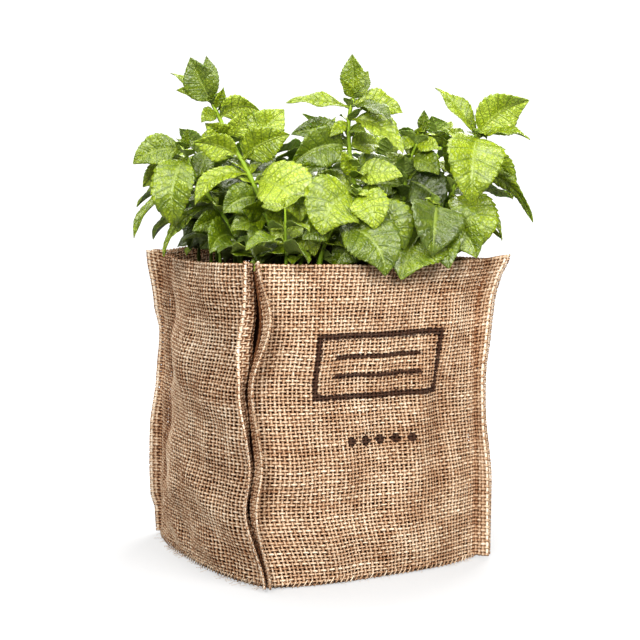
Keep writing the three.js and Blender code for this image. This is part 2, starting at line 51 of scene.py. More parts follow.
# ------------------------------------------------------------ the camera, the floor and the light
# A long lens a little above the bag, turned to its near left corner. The floor is white paper in a white
# room, under soft lamps in front, on the left, above and behind.

looks_down, looks_right = 5.4, 27.8  # degrees
lens = bpy.data.cameras.new("lens")
lens.lens = 78.4
lens.sensor_width = 36
camera = bpy.data.objects.new("camera", lens)
camera.location = Vector((-391, -747, 219)) * mm
camera.rotation_euler = (math.radians(90 - looks_down), 0, math.radians(-looks_right))
scene.collection.objects.link(camera)
scene.camera = camera
scene.view_settings.view_transform = "Standard"
scene.view_settings.look = "Medium High Contrast"


def linear(hex_colour):
    """A colour written as sRGB hex, as the shaders want it."""
    channels = [int(hex_colour[i:i + 2], 16) / 255 for i in (1, 3, 5)]
    return [c / 12.92 if c <= 0.04045 else ((c + 0.055) / 1.055) ** 2.4 for c in channels] + [1]


def material(name, **sockets):
    """A new material with its shader's own sockets set; an underscore in a name stands for a space."""
    made = bpy.data.materials.new(name)
    made.use_nodes = True
    shader = made.node_tree.nodes["Principled BSDF"]
    for socket, value in sockets.items():
        shader.inputs[socket.replace("_", " ")].default_value = value
    return made, made.node_tree, shader


def add(tree, kind, inputs, stops=None, **settings):
    """Adds a shader node and gives its outputs. inputs maps its sockets to values, or to the outputs that
    feed them. A Map Range goes from 1 and 2 to 3 and 4, and a Mix blends 6 and 7. stops colour a ramp."""
    node = tree.nodes.new("ShaderNode" + kind)
    for name, value in settings.items():
        setattr(node, name, value)
    for socket, value in inputs.items():
        if isinstance(value, bpy.types.NodeSocket):
            tree.links.new(value, node.inputs[socket])
        else:
            node.inputs[socket].default_value = value
    for at, colour in (stops or {}).items():
        ramp = node.color_ramp.elements
        stop = ramp[0] if at == 0 else ramp[-1] if at == 1 else ramp.new(at)
        stop.color = linear(colour)
    return node.outputs


def meshed(shape, name):
    """A finished bmesh as a mesh."""
    made = bpy.data.meshes.new(name)
    shape.to_mesh(made)
    shape.free()
    return made


# Seamless background paper: matt, and burnt out to white in the photograph, so that only the shadow round the
# bag's foot shows on it.
shadow_reach, all_white = 130, 330  # mm from the bag's middle
glow_near, glow_far = 0.44, 1.0
paper, tree, shader = material("white_paper", Base_Color=linear("#8C8C8C"), Roughness=0.9,
                               Emission_Color=linear("#FFFFFF"))
on_object = add(tree, "TexCoord", {})["Object"]
away = add(tree, "VectorMath", {0: on_object}, operation="LENGTH")["Value"]
fading = {1: shadow_reach * mm, 2: all_white * mm, 3: glow_near, 4: glow_far}
glow = add(tree, "MapRange", {0: away, **fading})[0]
seen = add(tree, "LightPath", {})["Is Camera Ray"]
burnt_out = add(tree, "Math", {0: seen, 1: glow}, operation="MULTIPLY")[0]
tree.links.new(burnt_out, shader.inputs["Emission Strength"])
sweep = bmesh.new()
bmesh.ops.create_grid(sweep, x_segments=1, y_segments=1, size=0.9)
sweep_mesh = meshed(sweep, "floor")
sweep_mesh.materials.append(paper)
floor = bpy.data.objects.new("floor", sweep_mesh)
scene.collection.objects.link(floor)

room_light, room_white = 0.25, 1.0  # what the walls give as light, and how bright the camera sees them
room = bpy.data.worlds.new("white_room")
room.use_nodes = True
seen = add(room.node_tree, "LightPath", {})["Is Camera Ray"]
bright = add(room.node_tree, "MapRange", {0: seen, 3: room_light, 4: room_white})[0]
room.node_tree.links.new(bright, room.node_tree.nodes["Background"].inputs["Strength"])
room.node_tree.nodes["Background"].inputs["Color"].default_value = (1, 1, 1, 1)
scene.world = room

lit_spot = Vector((0, 0, 130))  # in the object's middle, where every lamp is turned to
for name, place, size, power in [
    ("key_lamp", (250, -1150, 950), 550, 14.2),
    ("left_lamp", (-800, -860, 850), 550, 14.2),
    ("top_lamp", (-150, 250, 1300), 800, 11),
    ("back_lamp", (850, 780, 900), 800, 15),
]:
    lamp = bpy.data.lights.new(name, "AREA")
    lamp.size = size * mm
    lamp.energy = power
    holder = bpy.data.objects.new(name, lamp)
    holder.location = Vector(place) * mm
    holder.rotation_euler = (lit_spot - Vector(place)).to_track_quat("-Z", "Y").to_euler()
    scene.collection.objects.link(holder)


def put(name, mesh, skin, slot, *nodes):
    """A finished mesh, in millimetres, becomes a piece that stands for these CAD nodes."""
    mesh.transform(Matrix.Scale(mm, 4))
    mesh.materials.append(skin)
    piece = bpy.data.objects.new(name, mesh)
    scene.collection.objects.link(piece)
    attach(piece, "root")
    if nodes:
        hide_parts(*nodes)
    return piece


# ------------------------------------------------------------ the bag's side panels
# Four pieces of hessian, woven from jute yarn that is thick and thin by turns. Each is sewn to the next with
# its seam allowance turned outwards, so that a wavy fin of two layers runs down every corner, ending in the
# cloth's pale selvedge. The compost bulges the panels, and their rims are turned in and hemmed.

bag_half = 70  # crease to crease, halved
bag_height = 178.5
panel_bottom = 1.8
rim_dips, rim_lift = (1.2, 1.2, -6, 1.2), 2.2  # each side's sag halfway along; the back one stands up instead
roundness = 3.5
bulge = [(0, 11), (30, 13), (100, 10), (178, 9)]  # height, how far a side's middle stands out
seam = 0.75  # from the corner's diagonal to the middle of a layer

# Each corner from the near left one, anticlockwise: how far its crease wanders out and aside, how wide its
# fin is, and how far the layers after and before it lean away from it. All are height, distance.
corners = [
    {  # front left, nearest the viewer
        "out": [(0, 0), (178, 0)],
        "aside": [(0, 2.5), (42, -6), (67, -3.5), (108, -7), (148, 0), (178, -3)],
        "width": [(0, 8), (40, 11), (178, 11)],
        "after": [(0, 4.3), (42, 6.8), (67, 7.5), (108, 5.3), (148, 9.2), (178, 5)],
        "before": [(0, -3), (42, -0.8), (67, -0.8), (108, 2), (138, 7.8), (178, 2)],
    },
    {  # front right
        "out": [(0, -1), (95, -1.5), (150, 0), (178, 5)],
        "aside": [(0, 0), (60, 3), (120, -3), (178, 0)],
        "width": [(0, 10), (42, 10), (85, 7), (110, 7), (130, 8), (165, 10), (178, 13)],
        "after": [(0, 2), (50, 3), (90, 2), (140, 7), (178, 6)],
        "before": [(0, 1), (50, 4), (90, 2), (140, 1), (178, 3)],
    },
    {  # back right
        "out": [(0, 2), (80, 0), (178, 2)],
        "aside": [(0, 0), (50, -4), (110, 3), (178, 0)],
        "width": [(0, 8), (40, 11), (178, 11)],
        "after": [(0, 3), (60, 6), (110, 3), (150, 7), (178, 3)],
        "before": [(0, -2), (60, 0), (110, 3), (150, 1), (178, 2)],
    },
    {  # back left
        "out": [(0, 3), (26, 2), (66, 0), (178, 0)],
        "aside": [(0, 0), (60, 3), (120, -2), (178, 0)],
        "width": [(0, 4), (14, 5), (24, 8), (66, 9), (100, 6), (128, 4), (145, 7), (178, 11)],
        "after": [(0, 1), (50, 3), (100, 2), (178, 3)],
        "before": [(0, 1), (50, 2), (100, 4), (178, 3)],
    },
]

# Folds and swellings of each side, from the front one anticlockwise: where along the side each runs (-1 to
# 1), how wide it is on that scale, and how far out it stands, by height.
folds = [
    [(0.62, 0.14, [(0, 0), (50, -1.5), (105, -3), (150, -1), (178, 0)])],
    [(-0.5, 0.16, [(0, 0), (60, -3), (120, -2), (178, -1)])],
    [(0.5, 0.16, [(0, 0), (80, -3), (178, -2)])],
    [
        (-0.7, 0.14, [(0, -1), (20, -3.5), (90, -6.5), (150, -6.5), (178, -5)]),
        (0.15, 0.45, [(0, 1), (60, 2), (120, 5), (160, 3.5), (178, 1)]),
    ],
]

# The front and back are woven with 2.6 mm from one upright yarn to the next, the left and right with 3.35 mm,
# and all with 2.05 mm between level yarns.
yarns_across, yarns_up = (67, 52, 67, 52), 87
cloth_width, level_pitch = 174.2, 2.05
yarn_width = (0.32, 0.35)  # halves, in pitches, of upright and level yarns
yarn_half_depth = 0.33
yarn_sides = 4
tube_spacing = 4  # radii, from one straight tube to the next
crimp = 0.36  # how far a yarn rises over the one that it crosses
hem_yarns, fin_yarns = 5, 6

# How a panel's cloth isn't smooth, all in mm. It ripples between its seams, but dents no deeper than deepest.
# A seam draws the cloth in along its crease and makes it swell beside it.
ripple_height, ripple_longest, ripple_shortest, deepest = 1.5, 80, 22, 1.4
drawn_in, drawn_width = 0.7, 2.2
swollen_out, swollen_at, swollen_width = 0.9, 4.5, 2.6


def eased(points, at):
    """The value at a height, or at many, eased from one given point to the next."""
    heights, values = np.array(points, float).T
    at = np.clip(at, heights[0], heights[-1])
    step = np.clip(np.searchsorted(heights, at) - 1, 0, len(heights) - 2)
    part = (at - heights[step]) / (heights[step + 1] - heights[step])
    return values[step] + (values[step + 1] - values[step]) * part * part * (3 - 2 * part)


def creases(side, z, inset=0):
    """The two creases of a side in its own frame, x to its right and y outwards."""
    root = math.sqrt(2)
    left, right = corners[side], corners[(side + 1) % 4]
    left_out, right_out = [(eased(corner["out"], z) - inset * root) / root for corner in (left, right)]
    left_aside, right_aside = [eased(corner["aside"], z) / root for corner in (left, right)]
    return (
        np.array([-bag_half - left_out + left_aside, bag_half + left_out + left_aside]),
        np.array([bag_half + right_out + right_aside, bag_half + right_out - right_aside]),
    )


def swell(side, steps, z):
    """How far a side stands out, for steps from -1 at its left crease to 1 at its right one."""
    folded = sum(eased(out, z) * np.exp(-((steps - at) / wide) ** 2) for at, wide, out in folds[side])
    return (eased(bulge, z) + folded) * (1 - np.abs(steps) ** roundness)


def face_line(side, z, steps, inset=0):
    """Points of a side's bulged face."""
    left, right = creases(side, z, inset)
    line = left + (right - left) * (steps[:, None] + 1) / 2
    line[:, 1] += swell(side, steps, z)
    return line


def fin_line(side, corner, z, mirror, lean, parts):
    """Points of a fin's layer, for parts from 0 at the crease to 1 at its edge."""
    root = math.sqrt(2)
    crease = creases(side, z)[0 if mirror < 0 else 1]
    along = eased(corner["width"], z) * parts / root
    apart = (seam + eased(corner[lean], z) * parts ** 2) / root
    return np.stack([crease[0] + mirror * (along - apart), crease[1] + along + apart], 1)


def turned(side, points):
    """Points of a side's own frame in the bag's frame."""
    angle = math.radians(90 * side)
    x, out = points[..., 0], points[..., 1]
    plan = [x * math.cos(angle) + out * math.sin(angle), x * math.sin(angle) - out * math.cos(angle)]
    return np.stack([*plan, points[..., 2]], -1)


def ripples(x, y, seed, longest, shortest, count=14):
    """Smooth unevenness from -1 to 1 or so: waves of many directions and lengths."""
    dice = Random(seed)
    total = np.zeros(np.broadcast(x, y).shape)
    for _ in range(count):
        heading = dice.uniform(0, math.pi)
        turn = 2 * math.pi / dice.uniform(shortest, longest)
        start = dice.uniform(0, 2 * math.pi)
        total += np.sin((x * math.cos(heading) + y * math.sin(heading)) * turn + start)
    return total / math.sqrt(count)


def running_length(line):
    """How far along a line each of its points is."""
    return np.concatenate([[0], np.cumsum(np.linalg.norm(np.diff(line, axis=0), axis=1))])


fin_points, face_points, face_reach = 9, 61, 0.97


def panel_form(side):
    """Where each corner of a panel's weave lies: an array of rows, columns and xyz, and the way out of it."""
    fin = np.linspace(0, 1, fin_points)
    steps = np.linspace(-face_reach, face_reach, face_points)
    left_corner, right_corner = corners[side], corners[(side + 1) % 4]
    count = yarns_across[side]
    form = np.empty((yarns_up + 1, count + 1, 3))
    for row in range(yarns_up + 1):
        z = bag_height * row / yarns_up
        line = np.concatenate([
            fin_line(side, left_corner, z, -1, "after", fin[::-1]),
            face_line(side, z, steps),
            fin_line(side, right_corner, z, 1, "before", fin),
        ])
        lift = np.concatenate([rim_lift * fin[::-1], 0 * steps, rim_lift * fin])
        length = running_length(line)
        stations = np.linspace(0, length[-1], count + 1)
        part = stations / length[-1]
        halfway = np.sin(np.pi * part) ** (2 if rim_dips[side] > 0 else 0.7)
        rim = bag_height - rim_dips[side] * halfway + np.interp(stations, length, lift)
        form[row, :, 0] = np.interp(stations, length, line[:, 0])
        form[row, :, 1] = np.interp(stations, length, line[:, 1])
        form[row, :, 2] = panel_bottom + row / yarns_up * (rim - panel_bottom)
    # Cloth turns a crease in a small curve.
    form[:, 1:-1] = (form[:, :-2] + 2 * form[:, 1:-1] + form[:, 2:]) / 4
    form = turned(side, form)
    out = ways_out(form)
    column, row = np.meshgrid(np.linspace(0, 1, count + 1), np.arange(yarns_up + 1))
    free = 1 - np.abs(2 * column - 1) ** 6
    waves = ripples(column * cloth_width, row * level_pitch, 20 + side, ripple_longest, ripple_shortest)
    rippled = ripple_height * free * waves
    rippled = np.where(rippled < 0, -deepest * np.tanh(-rippled / deepest), rippled)
    from_crease = to_crease(side, column * count, row)
    drawn = swollen_out * np.exp(-((from_crease - swollen_at) / swollen_width) ** 2)
    drawn = drawn - drawn_in * np.exp(-(from_crease / drawn_width) ** 2)
    return form + out * (rippled + drawn)[..., None], out


def to_crease(side, column, row):
    """How far a point of a panel's weave is from the nearer crease, in mm of cloth."""
    z = row * bag_height / yarns_up
    across = column * cloth_width / yarns_across[side]
    left = eased(corners[side]["width"], z)
    right = cloth_width - eased(corners[(side + 1) % 4]["width"], z)
    return np.minimum(np.abs(across - left), np.abs(across - right))


def ways_out(form):
    """Unit vectors square to a form's surface."""
    across = np.gradient(form, axis=1)
    up = np.gradient(form, axis=0)
    out = np.cross(across, up)
    return out / np.linalg.norm(out, axis=-1, keepdims=True)


def laid_on(form, out, points):
    """Points of flat cloth, whose x and y count yarns and z is in mm, moved onto a form."""
    column = np.clip(points[:, 0], 0, form.shape[1] - 1.001)
    row = np.clip(points[:, 1], 0, form.shape[0] - 1.001)
    i, j = column.astype(int), row.astype(int)
    s, t = (column - i)[:, None], (row - j)[:, None]
    mixed = []
    for grid in (form, out):
        below = grid[j, i] * (1 - s) + grid[j, i + 1] * s
        above = grid[j + 1, i] * (1 - s) + grid[j + 1, i + 1] * s
        mixed.append(below * (1 - t) + above * t)
    return mixed[0] + mixed[1] * points[:, 2:]


def read_points(mesh):
    points = np.empty(len(mesh.vertices) * 3)
    mesh.vertices.foreach_get("co", points)
    return points.reshape(-1, 3)


def write_points(mesh, points):
    mesh.vertices.foreach_set("co", np.asarray(points, np.float32).ravel())
    mesh.polygons.foreach_set("use_smooth", np.ones(len(mesh.polygons), bool))
    mesh.update()


def straight_tubes(count, around, steps, closed=True):
    """Tubes of radius 1 that stand side by side along x, with a ring at every unit of height."""
    tubes = bmesh.new()
    straight = {"cent": (0, 0, 0), "axis": (0, 0, 1), "angle": 0}
    bmesh.ops.create_circle(tubes, segments=around, radius=1)
    bmesh.ops.spin(tubes, geom=tubes.verts[:] + tubes.edges[:], dvec=(0, 0, 1), steps=steps, **straight)
    if closed:
        ends = [edge for edge in tubes.edges if edge.is_boundary]
        bmesh.ops.holes_fill(tubes, edges=ends, sides=around)
    if count > 1:
        whole = tubes.verts[:] + tubes.edges[:] + tubes.faces[:]
        straight.update(dvec=(tube_spacing, 0, 0), use_duplicate=True)
        bmesh.ops.spin(tubes, geom=whole, steps=count - 1, **straight)
    bmesh.ops.recalc_face_normals(tubes, faces=tubes.faces[:])
    return meshed(tubes, "tubes")


def rings_of(points):
    """Which ring of its straight tube each point is on, counted from the foot."""
    return np.rint(points[:, 2]).astype(int)


# How uneven jute yarn is, as shares of its width: from yarn to yarn, along one yarn, and how much tighter the
# weave is in the seam allowances. wander is how far, in pitches, a yarn strays from its line.
coarseness, unevenness, tightness, wander = 0.09, 0.15, 0.35, 0.09
thinnest, thickest, selvedge_width = 0.6, 1.6, 1.1
mean_pitch = 2.3  # mm; yarns read the ripples so many hundred mm apart that each has its own
tone_by_yarn, tone_along, tone_by_place = 0.12, 0.32, 0.2


def woven(name, across, up, seed, selvedge, side_shade_gain):
    """Flat hessian, plain weave: x and y count yarns and z is in mm. Each point keeps its yarn's tone."""
    cloth = bmesh.new()
    flat, tones = [], []
    dice = np.random.default_rng(seed)
    for level, (count, crossings) in enumerate([(across, up), (up, across)]):
        yarns = straight_tubes(count, yarn_sides, crossings + 1)
        cloth.from_mesh(yarns)
        points = read_points(yarns)
        bpy.data.meshes.remove(yarns)
        yarn = np.rint(points[:, 0] / tube_spacing).astype(int)
        ring = rings_of(points)
        side = points[:, 0] - tube_spacing * yarn
        depth = points[:, 1]
        along = np.clip(ring - 0.5, 0, crossings)
        coarse = dice.normal(0, coarseness, count)[yarn]
        uneven = unevenness * ripples(along * mean_pitch, yarn * 900, seed + level, 24, 3.5)
        beside = yarn if level == 0 else along
        last = (count if level == 0 else crossings) - 1
        tight = selvedge * tightness * (np.minimum(beside, last - beside) < fin_yarns - 2)
        swollen = np.clip(1 + coarse + uneven + (tight if level == 0 else 0), thinnest, thickest)
        swollen += 0 if level == 0 else tight
        edge = selvedge & (level == 0) & ((yarn == 0) | (yarn == count - 1))
        swollen = np.where(edge, selvedge_width, swollen)
        strayed = wander * ripples(along * mean_pitch, yarn * 700, seed + 7 + level, 60, 7)
        over = np.cos(np.pi * (ring + yarn + level)) * np.where((ring > 0) & (ring <= crossings), 1, 0)
        z = crimp * over * np.where(edge, 0.3, 1) + depth * yarn_half_depth * swollen * np.where(edge, 1.6, 1)
        centre = yarn + 0.5 + np.where(edge, 0, strayed)
        place = centre + side * yarn_width[level] * swollen
        flat.append(np.stack([place, along, z] if level == 0 else [along, place, z], 1))
        tone = dice.normal(0, tone_by_yarn, count)[yarn]
        tone = tone + tone_along * ripples(along * mean_pitch, yarn * 500, seed + 3, 26, 3.5)
        soiled = tone_by_place * ripples(*(flat[level][:, :2] * mean_pitch).T, seed + 9, 55, 14)
        # A yarn is painted palest on its crowns, where it crosses over, and dark down its sides, as painted
        # light and shade of its round form. Level yarns are paler, and the selvedge is palest.
        painted_crown_light = 0.55 * over * np.where(depth < -0.1, -1, 1) + np.abs(depth)
        shade = np.where(edge, 1.3 + 0.4 * over, side_shade_gain * (painted_crown_light - 0.8) + 0.05 + 0.18 * level)
        tones.append(tone + soiled + shade)
    return meshed(cloth, name), np.concatenate(flat), np.concatenate(tones)


def keep(mesh, name, values):
    """Stores a number or a vector with each point, for the material to read."""
    kind, field = ("FLOAT", "value") if values.ndim == 1 else ("FLOAT_VECTOR", "vector")
    stored = mesh.attributes.new(name, kind, "POINT")
    stored.data.foreach_set(field, values.astype(np.float32).ravel())


# Painted shade: how much darker yarns are painted down their sides, more so on the coarser side panels.
painted_side_shade, coarse_painted_side_shade = 1.2, 1.65  # how much darker yarns are down their sides, and on the coarser panels
# Painted shade at the creases and in the folds: how dark, how wide in mm, and how dark per mm of fold.
painted_crease_shade, painted_crease_shade_width, painted_fold_shade = 0.8, 2.4, 0.13


def hessian(name, across, up, seed, form, out, shift=(0, 0, 0), selvedge=True, side=None):
    """Cloth of so many yarns, laid on a form from the yarn that shift gives, and that far off it in z."""
    coarser = side in (1, 3)
    mesh, flat, tones = woven(name, across, up, seed, selvedge, coarse_painted_side_shade if coarser else painted_side_shade)
    place = flat + shift
    write_points(mesh, laid_on(form, out, place))
    if side is not None:
        # Painted shade: the folds, and most of all those by the seams, are painted dark.
        tones = tones - painted_crease_shade * np.exp(-(to_crease(side, place[:, 0], place[:, 1]) / painted_crease_shade_width) ** 2)
        z, steps = place[:, 1] * bag_height / yarns_up, 2.25 * place[:, 0] / across - 1.125
        for at, wide, depth in folds[side]:
            tones += painted_fold_shade * np.minimum(eased(depth, z), 0) * np.exp(-((steps - at + 0.05) / wide) ** 2)
    keep(mesh, "tone", tones)
    keep(mesh, "ink", -stencil(place[:, 0] * cloth_width / yarns_across[0], place[:, 1] * level_pitch))
    return mesh


# A blank label, in mm on the flat front panel from its left selvedge and its foot: a frame, two ruled lines
# in it and a row of diamonds below. Widths and strokes are halves.
label_middle, label_half, frame_stroke = (92, 121), (43, 19), 1.8
rule_from_middle, rule_half, rule_stroke = 5.5, 30, 1.4
diamonds_below, diamonds_half, diamond_every, diamond_half = 43, 25, 10, 3.8


def stencil(x, y):
    """How far outside the print a point is."""
    across, above = np.abs(x - label_middle[0]), y - label_middle[1]
    outside = np.maximum(across - label_half[0], np.abs(above) - label_half[1])
    frame_line = np.abs(outside + frame_stroke) - frame_stroke
    ruled = np.maximum(np.abs(np.abs(above) - rule_from_middle) - rule_stroke, across - rule_half)
    from_diamond = np.abs((across + diamond_every / 2) % diamond_every - diamond_every / 2)
    diamonds = from_diamond + np.abs(above + diamonds_below) - diamond_half
    return np.minimum(np.minimum(frame_line, ruled), np.maximum(diamonds, across - diamonds_half))


# Hessian: dull, dry jute yarn, spun loosely. Fibres lie along it in light and dark streaks, and it has a
# little sheen. Yarns differ in tone from straw to brown.
fibre_mm = 0.35
ink, blot_mm, ink_cover = "#381B0D", 1.6, 0.93


def hessian_skin(name, printed):
    """Woven jute, with or without the label's ink on it."""
    skin, tree, shader = material(name, Roughness=0.92, IOR=1.5, Specular_IOR_Level=0.25, Sheen_Weight=0.04)
    tone = add(tree, "Attribute", {}, attribute_name="tone")["Fac"]
    on_object = add(tree, "TexCoord", {})["Object"]
    streaks = add(tree, "TexNoise", {"Vector": on_object, "Scale": 1 / (fibre_mm * mm), "Detail": 2})["Fac"]
    streaked = add(tree, "MapRange", {0: streaks, 1: 0.3, 2: 0.7, 3: -0.6, 4: 0.6})[0]
    mixed = add(tree, "Math", {0: tone, 1: streaked}, operation="ADD")[0]
    share = add(tree, "MapRange", {0: mixed, 1: -2.2, 2: 1.8})[0]
    straws = {0: "#3A1A06", 0.28: "#7C5030", 0.52: "#B69272", 0.75: "#DCC4A8", 1: "#FAECD8"}
    shown = add(tree, "ValToRGB", {0: share}, stops=straws)[0]
    if printed:
        # The ink is rubbed into the yarns' crowns, ragged at its edges, and misses some of their fibres.
        depth = add(tree, "Attribute", {}, attribute_name="ink")["Fac"]
        blots = add(tree, "TexNoise", {"Vector": on_object, "Scale": 1 / (blot_mm * mm), "Detail": 3})["Fac"]
        reach = add(tree, "Math", {0: blots, 1: 4, 2: depth}, operation="MULTIPLY_ADD")[0]
        covered = add(tree, "MapRange", {0: reach, 1: 1.6, 2: 2.3, 4: ink_cover})[0]
        shown = add(tree, "Mix", {0: covered, 6: shown, 7: linear(ink)}, data_type="RGBA")[2]
    tree.links.new(shown, shader.inputs["Base Color"])
    fibres = add(tree, "Bump", {"Height": streaks, "Strength": 0.4, "Distance": 0.1 * mm})[0]
    tree.links.new(fibres, shader.inputs["Normal"])
    return skin


jute = hessian_skin("woven_jute", False)
inked_jute = hessian_skin("inked_woven_jute", True)

names = ["bag_front_panel", "bag_right_panel", "bag_back_panel", "bag_left_panel"]
hem_off = -1.45  # mm, so that the hem's layer lies inside the panel
for side, name in enumerate(names):
    form, out = panel_form(side)
    count = yarns_across[side]
    cloth = hessian(name, count, yarns_up, 40 + side, form, out, side=side)
    panel = put(name + "_cloth", cloth, jute if side else inked_jute, "hessian", name)
    # Its yarns lie behind the holes between the panel's.
    shift = (fin_yarns + 0.5, yarns_up - hem_yarns - 0.5, hem_off)
    hem_across = count - 2 * fin_yarns
    hem_mesh = hessian(name + "_hem", hem_across, hem_yarns, 60 + side, form, out, shift, selvedge=False)
    hem = put(name + "_hem", hem_mesh, jute, "hessian")


# ------------------------------------------------------------ the base panel
# One more piece of the same hessian closes the bag below. It lies flat on the floor, with its edge under the
# sides, and is sewn to them all round.

base_across, base_up = 62, 78
base_inset, base_middle = 0.6, 0.72  # in from the section's outline, and up to the middle of the cloth


def ring_line(z, inset, per_side):
    """The bag's section at a height as one closed line, from its near left crease, anticlockwise."""
    steps = np.linspace(-1, 1, per_side + 1)[:-1]
    line = [face_line(side, z, steps, inset) for side in range(4)]
    level = [np.column_stack([points, np.full(per_side, z)]) for points in line]
    return np.concatenate([turned(side, points) for side, points in enumerate(level)])


def base_form():
    """The square weave pulled out to the section's outline."""
    side_steps = 64
    outline = ring_line(0, base_inset, side_steps)
    column, row = np.meshgrid(np.linspace(-1, 1, base_across + 1), np.linspace(-1, 1, base_up + 1))
    reach = np.maximum(np.maximum(np.abs(column), np.abs(row)), 1e-6)
    x, y = column / reach, row / reach
    # How far round the outline each point's own ray meets it, side by side.
    round_it = np.select(
        [y <= -0.9999, x >= 0.9999, y >= 0.9999],
        [(x + 1) / 2, 1 + (y + 1) / 2, 2 + (1 - x) / 2],
        3 + (1 - y) / 2,
    )
    at = np.arange(len(outline) + 1) / side_steps
    loop = np.concatenate([outline, outline[:1]])
    met = [np.interp(round_it, at, loop[:, k]) for k in (0, 1)]
    form = np.stack([met[0] * reach, met[1] * reach, np.full(reach.shape, base_middle)], -1)
    out = np.zeros_like(form)
    out[..., 2] = 1
    return form, out


form, out = base_form()
base_mesh = hessian("bag_base", base_across, base_up, 77, form, out, selvedge=False)
points = read_points(base_mesh)
points[:, 2] = np.maximum(points[:, 2], 0)
write_points(base_mesh, points)
base = put("bag_base_cloth", base_mesh, jute, "hessian", "bag_base_panel")


# ------------------------------------------------------------ the liner
# A pot of thin dark brown polythene film inside the hessian, open at the top and held out by the compost. It
# shows at the rim and between the yarns.

liner_inset, liner_wall, liner_bottom, liner_top = 2.6, 0.8, 1.8, 171
liner_rings, per_side = 12, 24
edge_height, edge_longest, edge_shortest = 0.5, 60, 20  # of the waves of its cut edge


def around_index(points, around):
    """Which point of its ring each point of a straight tube is, counted anticlockwise."""
    return np.rint(np.arctan2(points[:, 1], points[:, 0]) * around / (2 * math.pi)).astype(int) % around


def film():
    """A tube lofted up the bag's section, closed below, with a wall turned in."""
    heights = np.linspace(liner_bottom, liner_top, liner_rings)
    outlines = np.array([ring_line(z, liner_inset, per_side) for z in heights])
    x, y, z = outlines[-1].T
    outlines[-1, :, 2] = z + edge_height * ripples(x, y, 5, edge_longest, edge_shortest)
    tube = straight_tubes(1, 4 * per_side, liner_rings - 1, closed=False)
    points = read_points(tube)
    write_points(tube, outlines[rings_of(points), around_index(points, 4 * per_side)])
    shell = bmesh.new()
    shell.from_mesh(tube)
    lowest = [edge for edge in shell.edges if edge.is_boundary and edge.verts[0].co.z < liner_bottom + 1]
    bmesh.ops.holes_fill(shell, edges=lowest, sides=4 * per_side)
    bmesh.ops.recalc_face_normals(shell, faces=shell.faces[:])
    bmesh.ops.solidify(shell, geom=shell.faces[:], thickness=liner_wall)
    shell.to_mesh(tube)
    shell.free()
    return tube


# Polythene film: blown and dark brown, with a soft gloss and slack ripples.
slack_mm = 9  # the ripples' size
brown_film, tree, shader = material("brown_polythene_film", Base_Color=linear("#3A1A05"), Roughness=0.6,
                                   IOR=1.51, Specular_IOR_Level=0.25)
on_object = add(tree, "TexCoord", {})["Object"]
slack = add(tree, "TexNoise", {"Vector": on_object, "Scale": 1 / (slack_mm * mm), "Detail": 3})["Fac"]
slack_bump = add(tree, "Bump", {"Height": slack, "Strength": 0.6, "Distance": 0.8 * mm})[0]
tree.links.new(slack_bump, shader.inputs["Normal"])
put("liner_film", film(), brown_film, "liner", "liner")


# ------------------------------------------------------------ stitches and loose fibres at the foot
# The sides are overcast to the base with jute twine, a slanting stitch every few millimetres. Hessian sheds,
# so short fibres stand off the seam and a few lie on the floor round it.

stitch_every, stitch_height, stitch_half, stitch_slant, twine = 3.1, 2.4, 1.6, 1.1, 0.34
fibre_count, fibre_radius = 160, 0.09
hair_count, hair_length, hair_radii = 260, 2, [0.07, 0.06, 0.03]  # as many on each side
foot_steps = 60  # to a side, of the line round the foot
near_left = (195, 240)  # of that line's points, those of the left side's near end
near_share = 0.4  # of the fibres are shed there, and the others anywhere


def swept(path, radii, around):
    """A closed tube along a path of points, its rings square to the path."""
    path, radii = np.asarray(path, float), np.broadcast_to(radii, len(path))
    heading = np.gradient(path, axis=0)
    heading /= np.linalg.norm(heading, axis=1, keepdims=True)
    aside = np.empty_like(path)
    aside[0] = np.cross(heading[0], (0.0, 1.0, 0.0) if abs(heading[0][1]) < 0.9 else (1.0, 0.0, 0.0))
    for k in range(1, len(path)):
        aside[k] = aside[k - 1] - heading[k] * (aside[k - 1] @ heading[k])
    aside /= np.linalg.norm(aside, axis=1, keepdims=True)
    beside = np.cross(heading, aside)
    tube = straight_tubes(1, around, len(path) - 1)
    points = read_points(tube)
    ring = rings_of(points)
    x, y = points[:, :1] * radii[ring, None], points[:, 1:2] * radii[ring, None]
    write_points(tube, path[ring] + aside[ring] * x + beside[ring] * y)
    return tube


def gathered(name, meshes):
    """Several meshes joined into one."""
    whole = bmesh.new()
    for mesh in meshes:
        whole.from_mesh(mesh)
    made = meshed(whole, name)
    for mesh in set(meshes):
        bpy.data.meshes.remove(mesh)
    return made


def toned(mesh, value):
    """The mesh with one tone all over."""
    keep(mesh, "tone", np.full(len(mesh.vertices), float(value)))
    return mesh


def overcast():
    """Stitches round the foot: each comes out of the side, slants over the seam and goes in again."""
    dice = Random(3)
    line = ring_line(2, -0.2, foot_steps)
    loop = np.concatenate([line, line[:1]])
    run = running_length(loop)
    bend = np.linspace(-1, 1, 6)
    stitches = []
    for at in np.arange(0, run[-1], stitch_every):
        reach = at + bend * stitch_slant + dice.uniform(-0.3, 0.3)
        spots = np.stack([np.interp(reach % run[-1], run, loop[:, k]) for k in range(3)], 1)
        out = spots[3, :2] / np.linalg.norm(spots[3, :2])
        spots[:, :2] += out * (0.9 * np.sqrt(1 - 0.8 * bend ** 2) + 0.35)[:, None]
        spots[:, 2] = stitch_height + bend * stitch_half + dice.uniform(-0.2, 0.2)
        stitches.append(toned(swept(spots, twine * dice.uniform(0.85, 1.2), 5), dice.uniform(-0.5, 1.2)))
    return gathered("foot_stitches", stitches)


